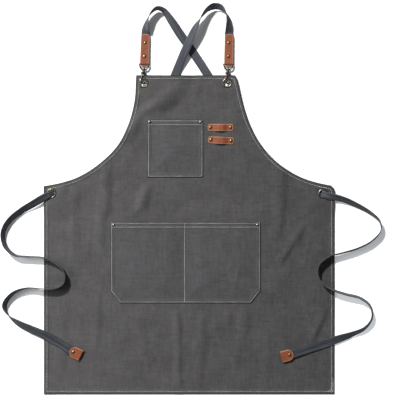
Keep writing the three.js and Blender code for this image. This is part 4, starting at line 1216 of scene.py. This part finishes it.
for node, spot in pocketRivets.items():
    makeClothRivet(node, spot, pocketTop(chestCut if "chest" in node else waistCut), eyeletBrass)
for node, spot in loopRivets.items():
    makeClothRivet(node, spot, loopTop, agedBrass)
foldedHalf = tabCut["gapInside"] + tabCut["thickness"]
for side in hangers:
    for index, along in enumerate(tabCut["rivets"]):
        makeRivet(f"tab_rivet_{side}_{index + 1}", -foldedHalf, foldedHalf, tabFrame(side) @ moved(y=along))
for side in tieTips:
    makeRivet("tip_rivet_" + side, -foldedHalf, foldedHalf, tipFrame(side) @ moved(tipCut["rivet"]))
print("rivets made")

# Eyelets: a closed section spun round the hole.
# The roll goes out from the inner edge, the flange in from the outer one
eyeletShape = {"inner": 7.8, "outer": 11.8, "half": 0.75, "steps": 56,
               "roll": [(0.0, 0.0), (0.35, 0.62), (1.1, 1.02), (1.9, 1.1)],
               "flange": [(1.3, 0.88), (0.4, 0.45), (0.0, 0.12), (0.15, 0.0), (3.0, 0.0)]}


def makeEyelet(node, spot):
    shape = eyeletShape
    upper = [(shape["inner"], 0.0)]
    upper += [(shape["inner"] + out, shape["half"] + rise) for out, rise in shape["roll"]]
    upper += [(shape["outer"] - back, shape["half"] + rise) for back, rise in shape["flange"]]
    points = [(radius, 0.0, height) for radius, height in mirrored(upper)]
    edges = [(k, (k + 1) % len(points)) for k in range(len(points))]
    piece = meshPiece("brass_" + node, points, [], edges)
    editAll(piece)
    bpy.ops.mesh.spin(steps=shape["steps"], angle=2 * math.pi, center=(0, 0, 0), axis=(0, 0, 1))
    bpy.ops.object.mode_set(mode="OBJECT")
    tidyMesh(piece)
    markRim(piece, shape["inner"], shape["outer"])
    settle(piece, layout @ moved(*spot, nodeMiddle(node)), [eyeletBrass], [node], sharp=60)


for node, spot in eyeletSpots.items():
    makeEyelet(node, spot)
print("eyelets made")

# Hooks: the boss and the post are turned about the hook's length, the pin and the gate's eye about its hinge
swivelShape = {"sides": 24, "boss": [(1.65, -2.6), (2.38, -2.6), (2.8, -2.1), (2.912, 0.0)],
               "post": [(1.56, -4.35), (2.47, -3.95), (2.6, -3.5), (2.34, -2.9), (1.45, -2.88), (1.45, 2.88),
                        (2.52, 2.9), (2.8, 3.3), (2.576, 4.4), (2.8, 5.0), (2.52, 6.4)]}
yokeShape = {"block": {"size": (6.2, 6.2, 9.6), "centre": (0.0, -9.1, 1.4), "bevel": 1.1},
             "slot": {"size": (3.2, 6.6, 6.2), "centre": (0.0, -10.9, 4.1), "bevel": 0.2}}
pinShape = {"sides": 16, "half": [(0.5, -2.95), (1.2, -2.9), (1.25, -2.6), (0.8, -2.55)]}
hookShape = {"span": 7.0, "wire": 1.75, "bow": 26.0, "tipEnd": 25.0, "steps": 8,
             "bowAngles": [-90, -60, -30, 0, 30, 60, 90],
             "back": [(8.4, -1.6), (11.0, -5.6), (13.4, -7.0), (19.0, -7.0)],
             "swell": [(0.0, 1.25), (0.12, 1.12), (0.5, 1.0), (0.8, 1.0), (0.97, 0.9), (1.0, 0.72)]}
gateShape = {"drop": 10.2, "front": 4.0, "reach": 24.2, "wire": 1.2, "from": 0.12, "points": 12,
             "studAt": 0.4, "eyeSides": 24, "eye": [(1.1, -1.3), (1.98, -1.3), (2.2, -1.0)], "studSides": 18,
             "stud": [(0.9, 0.0), (0.9, 1.5), (1.25, 1.8), (1.3, 2.4), (1.1, 2.75), (0.5, 2.9)],
             "swell": [(0.1, 1.05), (0.3, 1.0), (0.85, 1.0), (1.0, 0.8)]}


def blockPiece(name, block):
    deselectAll()
    bpy.ops.mesh.primitive_cube_add(size=1.0)
    piece = named(bpy.context.object, name)
    piece.data.transform(moved(*block["centre"]) @ Matrix.Diagonal((*block["size"], 1.0)))
    applyModifier(piece, "BEVEL", width=block["bevel"], segments=3, limit_method="NONE")
    return piece


def swivelPiece(name, profile):
    piece = turnedPiece(name, profile, swivelShape["sides"])
    piece.data.transform(turned(90, "X"))
    return piece


def swollen(shape, share):
    at, swell = zip(*shape["swell"])
    return shape["wire"] * np.interp(share, at, swell)


def makeRing(side):
    shape = ringShape
    points = []
    for angle in np.linspace(0, 2 * math.pi, shape["corners"], endpoint=False):
        c, s = math.cos(angle), math.sin(angle)
        power = 2 / (shape["squareTop"] if s > 0 else shape["squareFoot"])
        out, up = math.copysign(abs(c) ** power, c), math.copysign(abs(s) ** power, s)
        x = shape["halfWidth"] * out * (1 + shape["taper"] * (up - shape["taperFrom"]))
        points.append((x, shape["halfHeight"] * up))
    points = evenly(points + points[:1], shape["step"])[:-1]
    wire = wirePiece("ring", [(x, y, 0.0) for x, y in points], shape["wire"], True)
    boss = swivelPiece("boss", mirrored(swivelShape["boss"]))
    boss.data.transform(moved(y=-shape["halfHeight"]))
    piece = joinPieces([wire, boss], "hook_ring_wire_" + side)
    settle(piece, hangerFrame(side), [hookMetal], ["hook_ring_" + side], sharp=50)


def makeHook(side):
    shape = hookShape
    post = swivelPiece("post", swivelShape["post"])
    body, slot = blockPiece("yoke", yokeShape["block"]), blockPiece("slot", yokeShape["slot"])
    applyModifier(body, "BOOLEAN", operation="DIFFERENCE", object=slot, solver="EXACT")
    bpy.data.objects.remove(slot)
    pin = turnedPiece("pin", mirrored(pinShape["half"]), pinShape["sides"])
    pin.data.transform(moved(0, -gateShape["drop"], gateShape["front"]) @ turned(90, "Y"))
    bow = [(shape["bow"] + shape["span"] * math.cos(a), shape["span"] * math.sin(a))
           for a in np.radians(shape["bowAngles"])]
    bends = shape["back"] + bow + [(shape["tipEnd"], shape["span"])]
    route = smoothRoute([(0.0, -down, front) for down, front in bends], shape["steps"])
    wire = wirePiece("wire", route, swollen(shape, np.linspace(0, 1, len(route))))
    piece = joinPieces([post, body, pin, wire], "hook_body_" + side)
    settle(piece, swivelFrame(side), [hookMetal], ["snap_hook_" + side], sharp=45)


def makeGate(side):
    shape = gateShape
    reach, swing = shape["reach"] - shape["drop"], hookShape["span"] - shape["front"]
    eye = turnedPiece("eye", mirrored(shape["eye"]), shape["eyeSides"])
    eye.data.transform(turned(90, "Y"))
    share = np.linspace(shape["from"], 1.0, shape["points"])
    arm = wirePiece("arm", [(0.0, -reach * t, swing * t) for t in share], swollen(shape, share))
    stud = turnedPiece("stud", shape["stud"], shape["studSides"])
    stud.data.transform(moved(0, -shape["studAt"] * reach, shape["studAt"] * swing))
    piece = joinPieces([eye, arm, stud], "hook_gate_arm_" + side)
    place = swivelFrame(side) @ moved(0, -shape["drop"], shape["front"])
    settle(piece, place, [hookMetal], ["hook_gate_" + side], body="gate_" + side, sharp=50)


for side in hangers:
    makeRing(side)
    makeHook(side)
    makeGate(side)
print("hooks made")

# Floor, light and camera
studio = {
    "floor": (0.94, 0.94, 0.94), "floorPale": (0.96, 0.96, 0.96), "floorSize": 8.0, "floorLevel": -0.0003,
    "fill": 0.21, "fillTint": (0.94, 0.97, 1.0), "glow": (0.024, 0.315, -0.79), "glowMost": 0.45,
    "cameraAway": 2.3, "view": 0.936, "viewCentre": (25.0, 454.7), "sensor": 36.0,
    "lights": {
        "key": {"plan": (-0.56, 0.83), "rise": 45.0, "away": 8.0, "size": 0.66, "power": 890.0},
        "side": {"plan": (-1.0, 0.05), "rise": 31.0, "away": 1.95, "size": 0.9, "power": 17.0}}}


def makeFloor():
    deselectAll()
    bpy.ops.mesh.primitive_plane_add(size=studio["floorSize"], location=(0, 0, studio["floorLevel"]))
    floor = bpy.context.object
    floor.name = "studio_floor"
    finish, shader, place = startFinish(
        "paleFloor", Roughness=0.9, Specular_IOR_Level=0.1, Emission_Strength=1.0)
    tone = 0.5 + place.noise(3.0, 2.0).swing(0.2)
    start, east, north = studio["glow"]
    glow = (start + place.part(0) * east + place.part(1) * north).atLeast(0.0).atMost(studio["glowMost"])
    endFinish(shader, Base_Color=tone.colours(studio["floor"], studio["floorPale"]),
              Emission_Color=glow.colours((0.0, 0.0, 0.0), studio["fillTint"]))
    floor.data.materials.append(finish)


def makeLights():
    for name, lamp in studio["lights"].items():
        data = bpy.data.lights.new(name, "AREA")
        data.shape = "DISK"
        data.size = lamp["size"]
        data.energy = lamp["power"]
        rise = math.radians(lamp["rise"])
        plan = Vector((*lamp["plan"], 0.0)).normalized() * math.cos(rise)
        light = newObject(name, data)
        light.location = (plan + Vector((0, 0, math.sin(rise)))) * lamp["away"]
        light.rotation_euler = (-light.location).to_track_quat("-Z", "Y").to_euler()
    world = bpy.data.worlds.new("studio")
    world.use_nodes = True
    background = world.node_tree.nodes["Background"]
    background.inputs["Color"].default_value = (*studio["fillTint"], 1.0)
    background.inputs["Strength"].default_value = studio["fill"]
    bpy.context.scene.world = world
    bpy.context.scene.view_settings.view_transform = "Standard"


def makeCamera():
    data = bpy.data.cameras.new("overhead")
    data.sensor_width = studio["sensor"]
    data.lens = studio["sensor"] * studio["cameraAway"] / studio["view"]
    camera = newObject("overhead", data)
    camera.location = layout @ Vector((*studio["viewCentre"], studio["cameraAway"] / mm))
    bpy.context.scene.camera = camera


makeFloor()
makeLights()
makeCamera()
deselectAll()
print("studio made")
